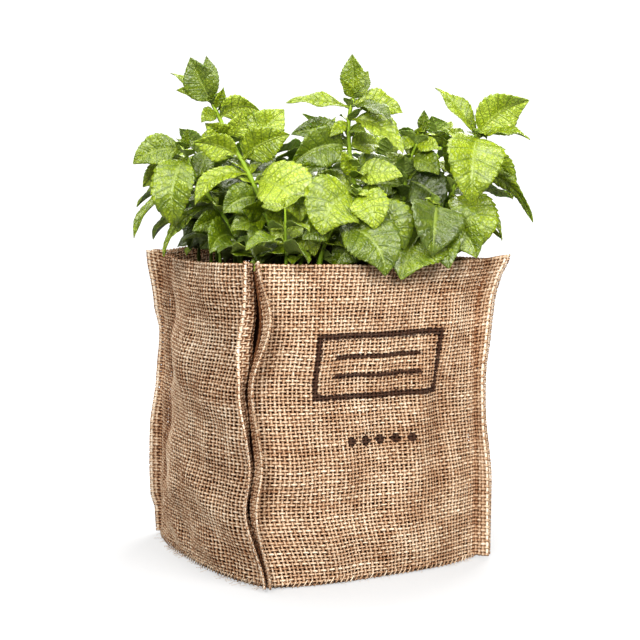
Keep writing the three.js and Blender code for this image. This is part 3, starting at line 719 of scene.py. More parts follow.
def shed_fibres():
    """Fine fibres that curl off the seam, thickest at the near left of the bag."""
    dice = Random(11)
    line = ring_line(2, -1.2, foot_steps)
    fibres = []
    for _ in range(fibre_count):
        start = line[dice.randrange(len(line))]
        if dice.random() < near_share:
            start = line[dice.randrange(*near_left)]
        heading = math.atan2(start[1], start[0]) + dice.gauss(0, 0.9)
        length = dice.uniform(1.5, 6)
        curl = dice.gauss(0, 0.25)
        height = dice.choice([0.3, 0.3, dice.uniform(0.5, 4)])
        fall = dice.uniform(-0.1, 0.25)
        path = [start[:2]]
        for _ in range(5):
            heading += curl
            path.append(path[-1] + length / 5 * np.array([math.cos(heading), math.sin(heading)]))
        heights = np.maximum(height + fall * np.arange(6) + 0.25 * np.sin(np.arange(6)), 0.15)
        fibre = swept(np.column_stack([path, heights]), fibre_radius, 3)
        fibres.append(toned(fibre, dice.uniform(-0.5, 1.5)))
    return gathered("shed_fibres", fibres)


def fuzz():
    """Short hairs of jute that stand off the panels' yarns."""
    dice = Random(29)
    hairs = []
    for side in range(4):
        form, out = panel_form(side)
        for _ in range(hair_count):
            row, column = dice.randrange(3, yarns_up - 1), dice.randrange(yarns_across[side])
            spot, away = form[row, column] + 0.4 * out[row, column], out[row, column]
            lean = np.array([dice.gauss(0, 1) for _ in range(3)])
            way = 0.55 * away + 0.5 * lean / np.linalg.norm(lean)
            path = [spot, spot + 0.9 * way + 0.25 * away, spot + hair_length * way]
            hairs.append(toned(swept(path, hair_radii, 3), dice.uniform(0, 2)))
    return gathered("jute_fuzz", hairs)


put("bag_foot_stitches", overcast(), jute, "hessian")
put("bag_shed_fibres", shed_fibres(), jute, "hessian")
put("bag_jute_fuzz", fuzz(), jute, "hessian")


# ------------------------------------------------------------ the corner seams
# The panels are sewn to each other along every crease with a thick jute thread, which lies down in the fold
# of the fin. It is thin between its stitches and thick where each is drawn tight. Its dark brown tone is
# partly the thread's own and partly painted shade for the deep gap between the fin's layers.

seam_every, seam_radius, seam_swell = 3.4, 0.85, 0.2
seam_off = 0.4  # outwards from the crease
# The thread's tone: dark brown, and darker still as painted shade in the fin's gap.
seam_thread_and_shade_tone = -1.3


def corner_seam(side):
    """The stitches down a crease, as one cord."""
    heights = np.arange(4, 175, 0.85)
    root = math.sqrt(2)
    crease = np.array([creases(side, z)[0] for z in heights])
    outwards = np.array([-1, 1]) / root
    path = turned(side, np.column_stack([crease + seam_off * outwards, heights]))
    tight = 1 + seam_swell * np.cos(2 * math.pi * heights / seam_every)
    return toned(swept(path, seam_radius * tight, 8), seam_thread_and_shade_tone)


put("bag_corner_seams", gathered("seams", [corner_seam(side) for side in range(4)]), jute, "hessian")


# ------------------------------------------------------------ the compost
# Damp peat compost, heaped a little in the middle, crumbly, with bits of bark and fibre on top and the mint's
# fine pale roots breaking its surface near the rim.

compost_inset, compost_bottom, compost_edge = 4.2, 3.2, 167
compost_dome, compost_lump = 7, 1.2
compost_sides = 36  # steps to a side
wall_rings, top_rings = 8, 44
crumble_height, crumble_mean = 2.2, 0.45
crumb_count, crumb_reach, sliver_share = 900, 74, 0.2
root_count, root_reach, root_steps, root_step, root_radii = 26, 66, 14, 0.95, (0.28, 0.14)


def compost_top(x, y):
    """How high the compost stands, by the same rule as the frame's block."""
    across = np.minimum(1, np.maximum(np.abs(x), np.abs(y)) / bag_half)
    lumps = np.sin(x / 8 + 1) * np.cos(y / 9) + 0.5 * np.sin(x / 4 - y / 5)
    return compost_edge + compost_dome * (1 - across ** 4) + compost_lump * lumps


def compost_block():
    """A tube lofted up the bag's section, then drawn in ring by ring over the top."""
    heights = np.linspace(compost_bottom, compost_edge, wall_rings)
    rings = [ring_line(z, compost_inset, compost_sides) for z in heights]
    for scale in np.linspace(0.985, 0.012, top_rings):
        ring = rings[wall_rings - 1] * (scale, scale, 1)
        rings.append(np.column_stack([ring[:, :2], compost_top(ring[:, 0], ring[:, 1])]))
    tube = straight_tubes(1, 4 * compost_sides, len(rings) - 1)
    points = read_points(tube)
    level = rings_of(points)
    placed = np.array(rings)[level, around_index(points, 4 * compost_sides)]
    crumble = np.array([noise.turbulence(Vector(point) / 5, 3, False) for point in placed])
    placed[:, 2] += np.where(level >= wall_rings, crumble_height * (crumble - crumble_mean), 0)
    write_points(tube, placed)
    tube.name = "compost"
    return tube


def crumbs():
    """Lumps of peat and slivers of bark, scattered and half sunk."""
    dice = Random(5)
    template = bmesh.new()
    bmesh.ops.create_icosphere(template, subdivisions=1, radius=1)
    lump = meshed(template, "lump")
    base = read_points(lump)
    pieces = []
    for _ in range(crumb_count):
        x, y = dice.uniform(-crumb_reach, crumb_reach), dice.uniform(-crumb_reach, crumb_reach)
        if abs(x) ** 5 + abs(y) ** 5 > 72 ** 5:  # outside the bag's rounded square
            continue
        sliver = dice.random() < sliver_share
        size = np.array([dice.uniform(2, 4.5), 0.5, 0.4] if sliver else [dice.uniform(0.6, 1.9)] * 3)
        turn = np.array(Matrix.Rotation(dice.uniform(0, 2 * math.pi), 3, "Z")
                        @ Matrix.Rotation(dice.gauss(0, 0.35), 3, "Y"))
        rough = base * np.array([[dice.uniform(0.7, 1.15)] for _ in base]) * size
        piece = lump.copy()
        write_points(piece, rough @ turn.T + (x, y, compost_top(x, y) + 0.3 * size[2]))
        piece.polygons.foreach_set("use_smooth", np.zeros(len(piece.polygons), bool))
        pieces.append(toned(piece, dice.gauss(0, 1) + (0.8 if sliver else 0)))
    bpy.data.meshes.remove(lump)
    return gathered("compost_crumbs", pieces)


def roots():
    """Thin pale roots, curling out of the compost and in again."""
    dice = Random(8)
    strands = []
    spots = [(-50, -62), (-45, -66), (-36, -64), (-30, -70), (-12, -68), (10, -66), (33, -66)]
    spots += [(-66, -30), (-64, 2)]
    for _ in range(root_count):
        spots.append((dice.uniform(-root_reach, root_reach), dice.uniform(-root_reach, root_reach)))
    for x, y in spots:
        start = np.array([x, y, compost_top(x, y) - 0.5])
        heading, rise, curl = dice.uniform(0, 6.3), 1.1, dice.choice([-1, 1]) * dice.uniform(0.25, 0.6)
        path = [start]
        for _ in range(root_steps):
            heading += curl
            rise -= 0.17 + 0.03 * dice.random()
            way = np.array([math.cos(heading), math.sin(heading), rise])
            path.append(path[-1] + root_step * way)
        strands.append(swept(path, np.linspace(*root_radii, len(path)), 5))
    return gathered("roots", strands)


# Peat compost: damp and nearly black, rough at every scale, with browner bark in it.
crumb_mm = 1.6
peat, tree, shader = material("damp_peat_compost", Roughness=0.88, IOR=1.4)
on_object = add(tree, "TexCoord", {})["Object"]
grit = add(tree, "TexNoise", {"Vector": on_object, "Scale": 1 / (crumb_mm * mm), "Detail": 6})["Fac"]
spread = add(tree, "MapRange", {0: grit, 1: 0.35, 2: 0.7})[0]
browns = add(tree, "ValToRGB", {0: spread}, stops={0: "#130D08", 1: "#4A3423"})[0]
tree.links.new(browns, shader.inputs["Base Color"])
rough = add(tree, "Bump", {"Height": grit, "Strength": 0.9, "Distance": 0.9 * mm})[0]
tree.links.new(rough, shader.inputs["Normal"])

# Composted bark and crumbs of peat: dry on top and matt, from nearly black to red brown.
bark, tree, shader = material("composted_bark", Roughness=0.8, IOR=1.45)
tone = add(tree, "Attribute", {}, attribute_name="tone")["Fac"]
share = add(tree, "MapRange", {0: tone, 1: -1.5, 2: 2.5})[0]
browns = add(tree, "ValToRGB", {0: share}, stops={0: "#1A110B", 1: "#7A5636"})[0]
tree.links.new(browns, shader.inputs["Base Color"])

# Young roots: white to straw, smooth and a little see-through.
root_skin, _, _ = material("young_root", Base_Color=linear("#E4D8BC"), Roughness=0.5, Subsurface_Weight=0.2,
                           Subsurface_Scale=0.3 * mm)

put("compost_heap", compost_block(), peat, "compost", "compost")
put("compost_crumbs", crumbs(), bark, "compost")
put("mint_roots", roots(), root_skin, "mint")


# ------------------------------------------------------------ the mint's leafy stems
# Garden mint: square, juicy stems out of the compost, each with opposite pairs of thin, toothed leaves that
# are quilted between their veins. Young leaves crowd the tips, and small ones sit in the axils. Every stem
# and leaf stands where the frame's solids have it, by the same places and the same rule.

soil, hole_depth = 177, 13
stem_base, stem_tip = 1.45, 0.8  # half the stem's width at its foot and its tip
petiole, fold = 0.1, 0.12  # the petiole's share of a leaf's length, and how steeply the blade folds up

# Each leaf is where on its stem it stands (0 foot, 1 tip), its bearing and rise in degrees, its length in mm,
# how far it droops and rolls in degrees, and its half width over its length. Each also has a digit, in their
# order, for how pale it is. Young leaves are paler, and the digits also hold painted light and shade:
# a leaf in the light is paler and one in shade darker.
stem_places = [
    {"name": "left_tall", "pale": "33555473777576272347472",
     "path": [(-44, -37), (-47, -38, 210), (-67, -30, 238), (-79, -26, 267)],
     "leaves": [
         (0.98, 180, 55, 29, -15, -120, 0.31), (0.99, 85, 75, 29, 10, 0, 0.16),
         (0.99, 135, 50, 31, 30, -40, 0.12), (0.99, 140, 35, 25, 30, -60, 0.13),
         (0.95, -75, 60, 14, 10, 160, 0.22), (0.93, -145, 0, 17, 40, -55, 0.25),
         (0.89, -45, 50, 26, 80, 110, 0.28), (0.89, 10, 50, 20, 20, 55, 0.25),
         (0.73, -170, 50, 21, 20, -125, 0.33), (0.73, -80, 70, 20, 20, 140, 0.28),
         (0.65, 165, 35, 29, 40, -115, 0.27), (0.63, -45, 45, 32, 40, 115, 0.3),
         (0.61, -5, 60, 40, 20, 75, 0.3), (0.53, 175, 20, 41, 95, -50, 0.13),
         (0.53, 15, 40, 24, 20, 45, 0.25),
         (0.48, -60, 15, 44, 95, 55, 0.34), (0.47, 125, 25, 31, 30, -65, 0.3),
         (0.39, -175, 10, 26, 60, -80, 0.33), (0.3, -165, 30, 21, 30, -120, 0.3),
         (0.28, -60, 5, 42, 80, 55, 0.36), (0.24, -170, 15, 25, 50, -70, 0.3),
         (0.22, -65, 70, 19, 20, 135, 0.25), (0.16, -145, 5, 30, 80, -30, 0.33),
     ]},
    {"name": "left_low", "pale": "444453434333223",
     "path": [(-57, -15), (-60, -17, 203), (-83, -8, 217), (-88, -8, 241)],
     "leaves": [
         (0.99, 165, 15, 32, 60, -70, 0.26), (0.99, -90, 75, 13, 10, 150, 0.2),
         (0.99, -35, 70, 17, 60, 125, 0.2), (0.93, -140, -15, 50, 110, -20, 0.22),
         (0.93, 125, -5, 36, 50, -125, 0.2), (0.72, 25, 65, 22, 20, 25, 0.3),
         (0.64, 170, 10, 55, 85, -40, 0.08), (0.61, 5, 35, 23, 30, 55, 0.3),
         (0.5, 165, -10, 45, 70, -40, 0.1), (0.48, -55, 35, 22, 40, 120, 0.32),
         (0.42, 120, 25, 25, 60, -115, 0.3), (0.32, -170, 20, 25, 60, -70, 0.25),
         (0.3, -65, 15, 25, 60, 65, 0.3), (0.23, 130, 0, 24, 50, -110, 0.3),
         (0.18, -145, 20, 31, 90, -50, 0.3),
     ]},
    {"name": "middle_tall", "pale": "445562752373683463543",
     "path": [(4, -36), (13, -44, 211), (-6, -37, 240), (1, -44, 270)],
     "leaves": [
         (1, -130, 90, 25, 15, -170, 0.27), (1, 5, 60, 20, 10, 45, 0.24), (1, -150, 45, 15, 10, -135, 0.2),
         (0.94, 160, 20, 38, 30, -45, 0.13), (0.96, -15, 15, 32, 45, 70, 0.25),
         (0.95, -60, 10, 31, 60, 25, 0.2), (0.87, -50, 0, 41, 60, 50, 0.19),
         (0.85, -165, -15, 17, 30, -65, 0.2), (0.74, 165, 30, 35, 50, -80, 0.2),
         (0.7, 180, 10, 40, 55, -80, 0.27), (0.69, 5, 25, 23, 40, 65, 0.32),
         (0.79, -75, 15, 17, 30, 40, 0.22), (0.49, -155, 60, 20, 15, -135, 0.22),
         (0.49, -45, 25, 30, 40, 60, 0.26), (0.53, 0, 30, 29, 30, 50, 0.25),
         (0.5, 100, 35, 22, 40, -55, 0.25), (0.42, 135, 20, 32, 40, -70, 0.26),
         (0.4, 125, 35, 32, 40, -75, 0.16), (0.35, -60, 30, 22, 60, 70, 0.3),
         (0.32, -160, 5, 33, 90, -55, 0.33), (0.21, -170, -10, 33, 70, -60, 0.26),
     ]},
    {"name": "front_low", "pale": "3323",
     "path": [(-28, -58), (-28, -59, 185), (-26, -63, 191), (-24, -66, 197)],
     "leaves": [
         (1, -42, 15, 48, 110, 45, 0.32), (0.9, -170, 20, 24, 60, -60, 0.3), (0.9, 60, 40, 20, 30, 30, 0.3),
         (0.5, 120, 30, 22, 50, -30, 0.3),
     ]},
    {"name": "front_middle", "pale": "56443",
     "path": [(1, -64), (2, -68, 191), (-5, -69, 203), (-11, -69, 215)],
     "leaves": [
         (0.99, -175, 10, 38, 100, -65, 0.42), (0.99, -90, -5, 27, 90, 35, 0.38),
         (0.73, -50, 0, 34, 80, 50, 0.36), (0.59, -155, -10, 23, 70, -50, 0.33),
         (0.32, -175, 5, 29, 60, -65, 0.3),
     ]},
    {"name": "right_shoot", "pale": "34256461313",
     "path": [(44, -39), (38, -38, 202), (34, -38, 228), (46, -47, 251)],
     "leaves": [
         (1, -110, 75, 14, 5, 175, 0.24), (1, -155, 15, 8, 5, -105, 0.3), (0.98, 0, 5, 30, 50, 115, 0.14),
         (0.92, -180, 5, 18, 40, -55, 0.22), (0.89, -65, 15, 17, 40, 65, 0.3),
         (0.79, -65, 5, 23, 60, 60, 0.3), (0.68, 120, 50, 19, 20, -60, 0.25),
         (0.62, -55, -5, 30, 60, 65, 0.42), (0.57, 175, 20, 28, 45, -70, 0.28),
         (0.5, -85, -10, 34, 80, 40, 0.38), (0.47, -170, 10, 25, 60, -75, 0.3),
     ]},
    {"name": "right_tall", "pale": "7555654335444332",
     "path": [(64, -47), (58, -48, 202), (63, -54, 228), (74, -64, 249)],
     "leaves": [
         (0.99, -35, 65, 38, 60, 100, 0.33), (0.99, -130, -5, 55, 100, -15, 0.28),
         (0.99, 135, 60, 40, 20, -35, 0.17), (0.99, -50, 25, 33, 50, 40, 0.13),
         (0.88, 115, 45, 22, 30, -40, 0.2), (0.88, -5, -5, 45, 80, 115, 0.16),
         (0.75, -15, 0, 58, 80, 140, 0.08), (0.69, -170, 65, 25, 30, -160, 0.2),
         (0.63, -150, 65, 21, 20, -200, 0.2), (0.51, -100, -15, 43, 80, 10, 0.34),
         (0.55, -10, 20, 46, 60, 145, 0.1), (0.43, -35, 10, 43, 85, 45, 0.1),
         (0.36, -20, 5, 39, 60, 135, 0.12), (0.3, 0, 15, 35, 60, 110, 0.3), (0.2, -65, 0, 26, 70, 55, 0.3),
         (0.36, 110, 50, 21, 40, -55, 0.3),
     ]},
    {"name": "front_right", "pale": "2443",
     "path": [(38, -62), (36, -64, 188), (42, -69, 198), (41, -71, 209)],
     "leaves": [
         (1, -135, 0, 44, 90, -20, 0.35), (0.78, -60, -5, 37, 70, 55, 0.33),
         (0.43, -155, 5, 47, 70, -45, 0.36), (0.46, -90, 10, 37, 80, 40, 0.3),
     ]},
]

# The stems behind: their foot and tip, how many pairs of leaves they bear, and the first pair's bearing. Each
# pair is turned a quarter from the last, and lower pairs are longer and droop more.
rear_stems = [
    ("left_edge", (-44, 20), (-64, 27, 238), 5, 20),
    ("back_left", (-14, 21), (-14, 37, 246), 5, 60),
    ("back_middle", (15, 10), (19, 28, 250), 5, 10),
    ("back_right", (40, -1), (56, 11, 234), 4, 80),
    ("right_edge", (60, -7), (84, -8, 246), 6, 35),
    ("far_right", (53, 33), (77, 48, 242), 6, 50),
    ("far_corner", (34, 58), (48, 82, 240), 5, 15),
    ("far_middle", (2, 56), (6, 84, 248), 6, 70),
    ("far_left", (-40, 56), (-58, 78, 238), 5, 0),
]

# The frame's source draws its numbers by this rule, so that the leaves stand alike in both.
seed, multiplier, modulus = 7, 16807, 2147483647


def draw(low, high):
    """The next of the seeded numbers between low and high."""
    global seed
    seed = seed * multiplier % modulus
    return low + (high - low) * seed / modulus


def rear_leaves(pairs, turn):
    """The leaves of a stem behind, in the table's own order, from the tip down."""
    leaves = []
    for pair in range(pairs):
        youngest = pair == 0
        for opposite in (0, 180):
            leaves.append((
                1 - 0.8 * pair / pairs,
                turn + 90 * pair + opposite + draw(-15, 15),
                (60 if youngest else 30 - 4 * pair) + draw(-10, 10),
                (22 if youngest else 32 + 3 * min(pair, 3)) + draw(-3, 3),
                (20 if youngest else 50 + 6 * pair) + draw(-10, 10),
                draw(-15, 15),
                0.31,
            ))
    return leaves


for name, foot, tip, pairs, turn in rear_stems:
    rise = tip[2] - soil
    bend = [tip[k] - 0.3 * (tip[k] - foot[k]) for k in (0, 1)]
    stem_places.append({
        "name": name,
        "path": [foot, (*foot, soil + 0.4 * rise), (*bend, tip[2] - 0.35 * rise), tip],
        "leaves": rear_leaves(pairs, turn),
        "pale": "554433221133"[:2 * pairs],
    })


class Leaf:
    """A leaf's place and form. Its midrib is an arc in the upright plane of its bearing."""

    def __init__(self, at, bearing, rise, length, droop, roll, wide):
        self.at, self.bearing, self.rise, self.length = at, bearing, rise, length
        self.droop, self.roll, self.wide = droop, roll, wide

    def bent(self, turned_by, lifted_by, shorter):
        """The same leaf turned and lifted by some degrees and cut shorter."""
        return Leaf(self.at, self.bearing + turned_by, self.rise + lifted_by, self.length * shorter,
                    self.droop, self.roll, self.wide)

    def midrib(self, base, q):
        """For parts q of its length: the point on the midrib, and the ways to its side and up from it."""
        bearing, roll = math.radians(self.bearing), math.radians(self.roll)
        drooped = math.radians(self.droop) * q
        mean = math.radians(self.rise) - drooped / 2
        here = math.radians(self.rise) - drooped
        chord = self.length * q * np.sinc(drooped / 2 / math.pi)

        def towards(angle):
            level = np.cos(angle)
            return np.stack([math.cos(bearing) * level, math.sin(bearing) * level, np.sin(angle)], 1)

        level = np.array([-math.sin(bearing), math.cos(bearing), 0])
        raised = np.cross(towards(here), level)
        side = level * math.cos(roll) + raised * math.sin(roll)
        return base + towards(mean) * chord[:, None], side, np.cross(towards(here), side)

    def half_width(self, q):
        """How far the blade reaches to each side of its midrib."""
        part = np.clip((q - petiole) / (1 - petiole), 0, 1)
        rounded = np.maximum(0, np.sin(math.pi * part ** 0.76)) ** 0.9 * (1 - 0.15 * part ** 2)
        return np.where(q <= petiole, 0.8, np.maximum(0.8 * (1 - part), self.wide * self.length * rounded))


def along_stem(path, t):
    """Points of the stem's curve, which its two ends and the two points between them pull into shape."""
    a, b, c, d = [np.array([*point, soil][:3], float) for point in path]
    t = np.asarray(t, float)[..., None]
    return a * (1 - t) ** 3 + 3 * b * (1 - t) ** 2 * t + 3 * c * (1 - t) * t ** 2 + d * t ** 3


# A blade's room is tested by rows of points, from the petiole out. The first two rows may come near a leaf of
# the same stem, and a small leaf's first four near anything.
blade_rows, half_row = 11, 3
row_points = 2 * half_row + 1
outer_part, small_part = 2 * row_points, 4 * row_points
clearance, own_clearance = 2.7, 1.4

# How far a leaf keeps off the bag: off its wall within and without, off the compost, over the rim, and off
# the fins, which take up fin_part of a side from each corner.
wall_gap, outer_gap, soil_gap, rim_gap = 7, 3.5, 2, 2.5
fin_part, fin_gap = 14, 16


def blade_points(leaf, base):
    """The points of a leaf's blade that its room is tested by."""
    q = np.repeat(0.2 + 0.08 * np.arange(blade_rows), row_points)
    across = np.tile(np.arange(-half_row, half_row + 1) / half_row, blade_rows) * leaf.half_width(q)
    point, side, normal = leaf.midrib(base, q)
    return point + side * across[:, None] + normal * (fold * np.abs(across))[:, None]


def clear_of_bag(points):
    """True where each point is inside the bag, outside it or over its rim."""
    x, y, z = points.T
    far, near = np.maximum(np.abs(x), np.abs(y)), np.minimum(np.abs(x), np.abs(y))
    side = np.argmax([-y, x, y, -x], axis=0)
    steps = np.clip(np.choose(side, [x, y, -x, -y]) / bag_half, -1, 1)
    wall = bag_half + np.choose(side, [swell(k, steps, z) for k in range(4)])
    inside = (far < wall - wall_gap) & (z > compost_top(x, y) + soil_gap)
    clear = np.where(far > wall, far > wall + outer_gap, inside)
    clear = np.where(near > bag_half - fin_part, far > bag_half + fin_gap, clear)
    return bool(np.all(clear | (z > bag_height + rim_gap + np.maximum(0, -np.array(rim_dips))[side])))


def reach_of(points):
    """How far the farthest of some points is from their middle."""
    return np.linalg.norm(points - points.mean(0), axis=1).max()


def apart(one, other, gap):
    """True where no point of one is within the gap of a point of the other."""
    if np.linalg.norm(one.mean(0) - other.mean(0)) > reach_of(one) + reach_of(other) + gap:
        return True
    between = one[:, None] - other[None]
    return bool(((between ** 2).sum(-1) > gap * gap).all())


# A leaf is placed at the first of these, turned and lifted by so many degrees, that has room for it.
nudges = [
    (0, 0), (10, 0), (-10, 0), (0, 10), (0, -10), (10, 10), (-10, 10), (10, -10), (-10, -10),
    (20, 0), (-20, 0), (20, 10), (-20, 10), (0, 20), (20, 20), (-20, 20), (30, 0), (-30, 0),
    (30, 15), (-30, 15), (0, -20),
]
cuts = (1, 0.85, 0.7, 0.55)
taken = {place["name"]: [] for place in stem_places}
lines = {place["name"]: along_stem(place["path"], np.linspace(0, 1, 41)) for place in stem_places}


def is_clear(points, name):
    """True where a leaf keeps off the bag, the other stems and all leaves placed before it."""
    if not clear_of_bag(points):
        return False
    for other, blades in taken.items():
        if other == name:
            if not all(apart(points[outer_part:], blade[outer_part:], own_clearance) for blade in blades):
                return False
        elif not apart(points, lines[other], clearance + stem_base):
            return False
        elif not all(apart(points, blade, clearance) for blade in blades):
            return False
    return True


def placed_leaves(place):
    """A stem's leaves. One without room is turned or lifted, and at last cut shorter or left out."""
    found = []
    for numbers, pale in zip(place["leaves"], place["pale"], strict=True):
        leaf = Leaf(*numbers)
        base = along_stem(place["path"], leaf.at)
        for bent in (leaf.bent(*nudge, shorter) for shorter in cuts for nudge in nudges):
            points = blade_points(bent, base)
            if is_clear(points, place["name"]):
                taken[place["name"]].append(points)
                found.append((bent, base, int(pale) / 10))
                break
    return found


# A leaf's blade starts as a flat slab, with a few rows to each of its teeth: a grown one or a small one.
tooth_rows = [(0.0, 0.0), (0.3, 0.35), (0.62, 0.75), (0.9, 1.0)]  # part of a tooth, how far out its edge is
small_tooth_rows = [(0.0, 0.0), (0.5, 0.6), (0.9, 1.0)]


def slab(strips, teeth, steps):
    """Its mesh and, for each point, how far across, along and up it is, and how far out its edge is."""
    rows = [(-0.02, 0), (0.03, 0), (0.08, 0)]
    for tooth in range(teeth):
        rows += [(petiole + (1 - petiole) * (tooth + part) / teeth, out) for part, out in steps]
    rows += [(0.995, 0)]
    flat = bmesh.new()
    bmesh.ops.create_grid(flat, x_segments=strips, y_segments=len(rows) - 1, size=1)
    bmesh.ops.solidify(flat, geom=flat.faces[:], thickness=1)
    made = meshed(flat, "slab")
    points = read_points(made)
    row = np.rint((points[:, 1] + 1) / 2 * (len(rows) - 1)).astype(int)
    along, out = np.array(rows)[row].T
    return made, points[:, 0], along, points[:, 2] - points[:, 2].min(), out


grown_slab = slab(strips=12, teeth=12, steps=tooth_rows)
small_slab = slab(strips=6, teeth=7, steps=small_tooth_rows)
small_length, full_length = 19, 40  # mm
vein_pairs, vein_slope, vein_curve, vein_start = 6.5, 0.17, 0.8, 0.05
leaf_dice = Random(17)

# In mm on a leaf of full length, and less on a smaller one: how high the blade swells between its veins, how
# far its margin waves, how far the midrib sinks above and stands out below, and the most that the tip bends.
puff_height, wave_height, rib_sunk, rib_proud, tip_drop = 1.25, 1.3, 0.45, 0.5, 3.0
petiole_thick, blade_thick, margin_thinner, tip_thinner = 1.3, 0.42, 0.2, 0.15
tooth_share, tooth_size = 0.065, 0.2  # a tooth stands out by this share of the half width, and these mm


def grown_leaf(leaf, base, tone):
    """The slab bent to a leaf: toothed, folded at the midrib, quilted between its side veins and waved."""
    blank, a, q, upper, out = small_slab if leaf.length < small_length else grown_slab
    part = np.clip((q - petiole) / (1 - petiole), 0, 1)
    size = min(1.15, leaf.length / full_length)
    slender = min(1, leaf.length / 25)  # a small leaf's petiole
    grown = np.sin(math.pi * part) ** 0.6
    full = 1.02 + 0.5 * part ** 2 * (1 - part)  # the blade's far half is rounder than the rule's outline
    half = leaf.half_width(q) * np.where(q < petiole, 0.75 * slender, full)
    half = half + grown * out * (tooth_share * half + tooth_size * size)
    half = np.where(q > 0.99, 0.1, half)
    point, side, normal = leaf.midrib(base, q)
    twist = (leaf_dice.gauss(0, 0.2) * part)[:, None]
    side, normal = (side * np.cos(twist) + normal * np.sin(twist),
                    normal * np.cos(twist) - side * np.sin(twist))
    across = a * half
    # Side veins run out and forward. The blade swells between them and is drawn down along them.
    phase = vein_pairs * (part - vein_slope * np.abs(a) ** vein_curve + vein_start)
    puffed = np.abs(np.sin(math.pi * phase)) ** 0.75 * (1 - a ** 4) * np.abs(a) ** 0.4 * grown
    wave_start, waves = leaf_dice.uniform(0, 6.3), leaf_dice.uniform(1.3, 2.6)
    wave = np.sin(2 * math.pi * waves * part + wave_start + np.sign(a) * 1.2) * a ** 2 * grown
    rib = np.exp(-(a / 0.09) ** 2)
    blade_wall = blade_thick - margin_thinner * np.abs(a) ** 3 - tip_thinner * part
    thick = np.where(q < petiole, petiole_thick * slender, blade_wall)
    height = puff_height * size * puffed + wave_height * size * wave - rib_sunk * rib * grown * size
    height += thick * (upper - 0.5) - rib_proud * rib * grown * size * (1 - upper)
    height += (fold + leaf_dice.uniform(0, 0.26)) * np.abs(across)
    height -= leaf_dice.uniform(0, tip_drop) * size * part ** 4
    mesh = blank.copy()
    write_points(mesh, point + side * across[:, None] + normal * height[:, None])
    shift = leaf_dice.uniform(0, 500)
    keep(mesh, "blade", np.stack([a, part, upper], 1))
    keep(mesh, "flat", np.stack([across, q * leaf.length, np.full(len(q), shift)], 1))
    return toned(mesh, tone)


stem_steps, stem_sides = 44, 8
node_swell, node_half = 0.22, 0.018  # how much thicker a stem is at its leaves, and along what part of it
ridge, hollow = 1.25, 0.95  # how far the four corners stand out and the four flats lie in


def stem_mesh(path, nodes, thin=1.0):
    """A square stem with blunt corners: upright in its hole, then along its curve, swollen at each pair."""
    t = np.linspace(0, 1, stem_steps)
    line = np.concatenate([[[*along_stem(path, 0)[:2], soil - hole_depth]], along_stem(path, t)])
    t = np.concatenate([[0], t])
    radius = thin * (stem_base + (stem_tip - stem_base) * t)
    for at in nodes:
        radius = radius * (1 + node_swell * np.exp(-((t - at) / node_half) ** 2))
    tube = swept(line, radius, stem_sides)
    points = read_points(tube)
    unbent = straight_tubes(1, stem_sides, len(line) - 1)
    flat = read_points(unbent)
    level = rings_of(flat)
    corner = around_index(flat, stem_sides) % 2
    bpy.data.meshes.remove(unbent)
    middle = line[level]
    write_points(tube, middle + (points - middle) * np.where(corner, ridge, hollow)[:, None])
    keep(tube, "tone", t[level])
    return tube


# Living mint leaf: a thin, juicy blade with a waxy skin under a fine down, which veils it with white at a
# glance. Its midrib is pale above, its other veins are sunk and darkened with painted shade, and its
# underside is paler and duller.
net_mm, blotch_mm = 2.1, 6
# How much painted shade the fine net takes, how dark the painted vein shade is, and how pale the midrib is.
net_depth, painted_vein_shade, midrib_shade = 0.75, 0.62, 0.42
leaf_skin, tree, shader = material(
    "mint_leaf", Roughness=0.42, IOR=1.47, Specular_IOR_Level=0.8,
    Subsurface_Weight=0.1, Subsurface_Scale=0.8 * mm, Subsurface_Radius=(0.6, 1.0, 0.1),
    Sheen_Weight=0.02, Sheen_Roughness=0.35, Coat_Weight=0.3, Coat_Roughness=0.24, Coat_IOR=1.45)
blade = add(tree, "Attribute", {}, attribute_name="blade")["Vector"]
flat = add(tree, "Attribute", {}, attribute_name="flat")["Vector"]
tone = add(tree, "Attribute", {}, attribute_name="tone")["Fac"]
parts = add(tree, "SeparateXYZ", {0: blade})
across = add(tree, "Math", {0: parts[0]}, operation="ABSOLUTE")[0]
curved = add(tree, "Math", {0: across, 1: vein_curve}, operation="POWER")[0]
sloped = add(tree, "Math", {0: curved, 1: -vein_slope, 2: vein_start}, operation="MULTIPLY_ADD")[0]
ahead = add(tree, "Math", {0: parts[1], 1: sloped}, operation="ADD")[0]
phase = add(tree, "Math", {0: ahead, 1: vein_pairs}, operation="MULTIPLY")[0]
from_vein = add(tree, "Math", {0: phase, 1: 0.5}, operation="PINGPONG")[0]
side_vein = add(tree, "MapRange", {0: from_vein, 1: 0.0, 2: 0.13, 3: 1.0, 4: 0.0})[0]
mid_vein = add(tree, "MapRange", {0: across, 1: 0.015, 2: 0.08, 3: 1.0, 4: 0.0})[0]
main_veins = add(tree, "Math", {0: side_vein, 1: mid_vein}, operation="MAXIMUM")[0]
net = add(tree, "TexVoronoi", {"Vector": flat, "Scale": 1 / net_mm}, feature="DISTANCE_TO_EDGE")["Distance"]
small_veins = add(tree, "MapRange", {0: net, 1: 0.02, 2: 0.15, 3: 1.0, 4: 0.0})[0]
faint_net = add(tree, "Math", {0: small_veins, 1: net_depth}, operation="MULTIPLY")[0]
veins = add(tree, "Math", {0: main_veins, 1: faint_net}, operation="MAXIMUM")[0]

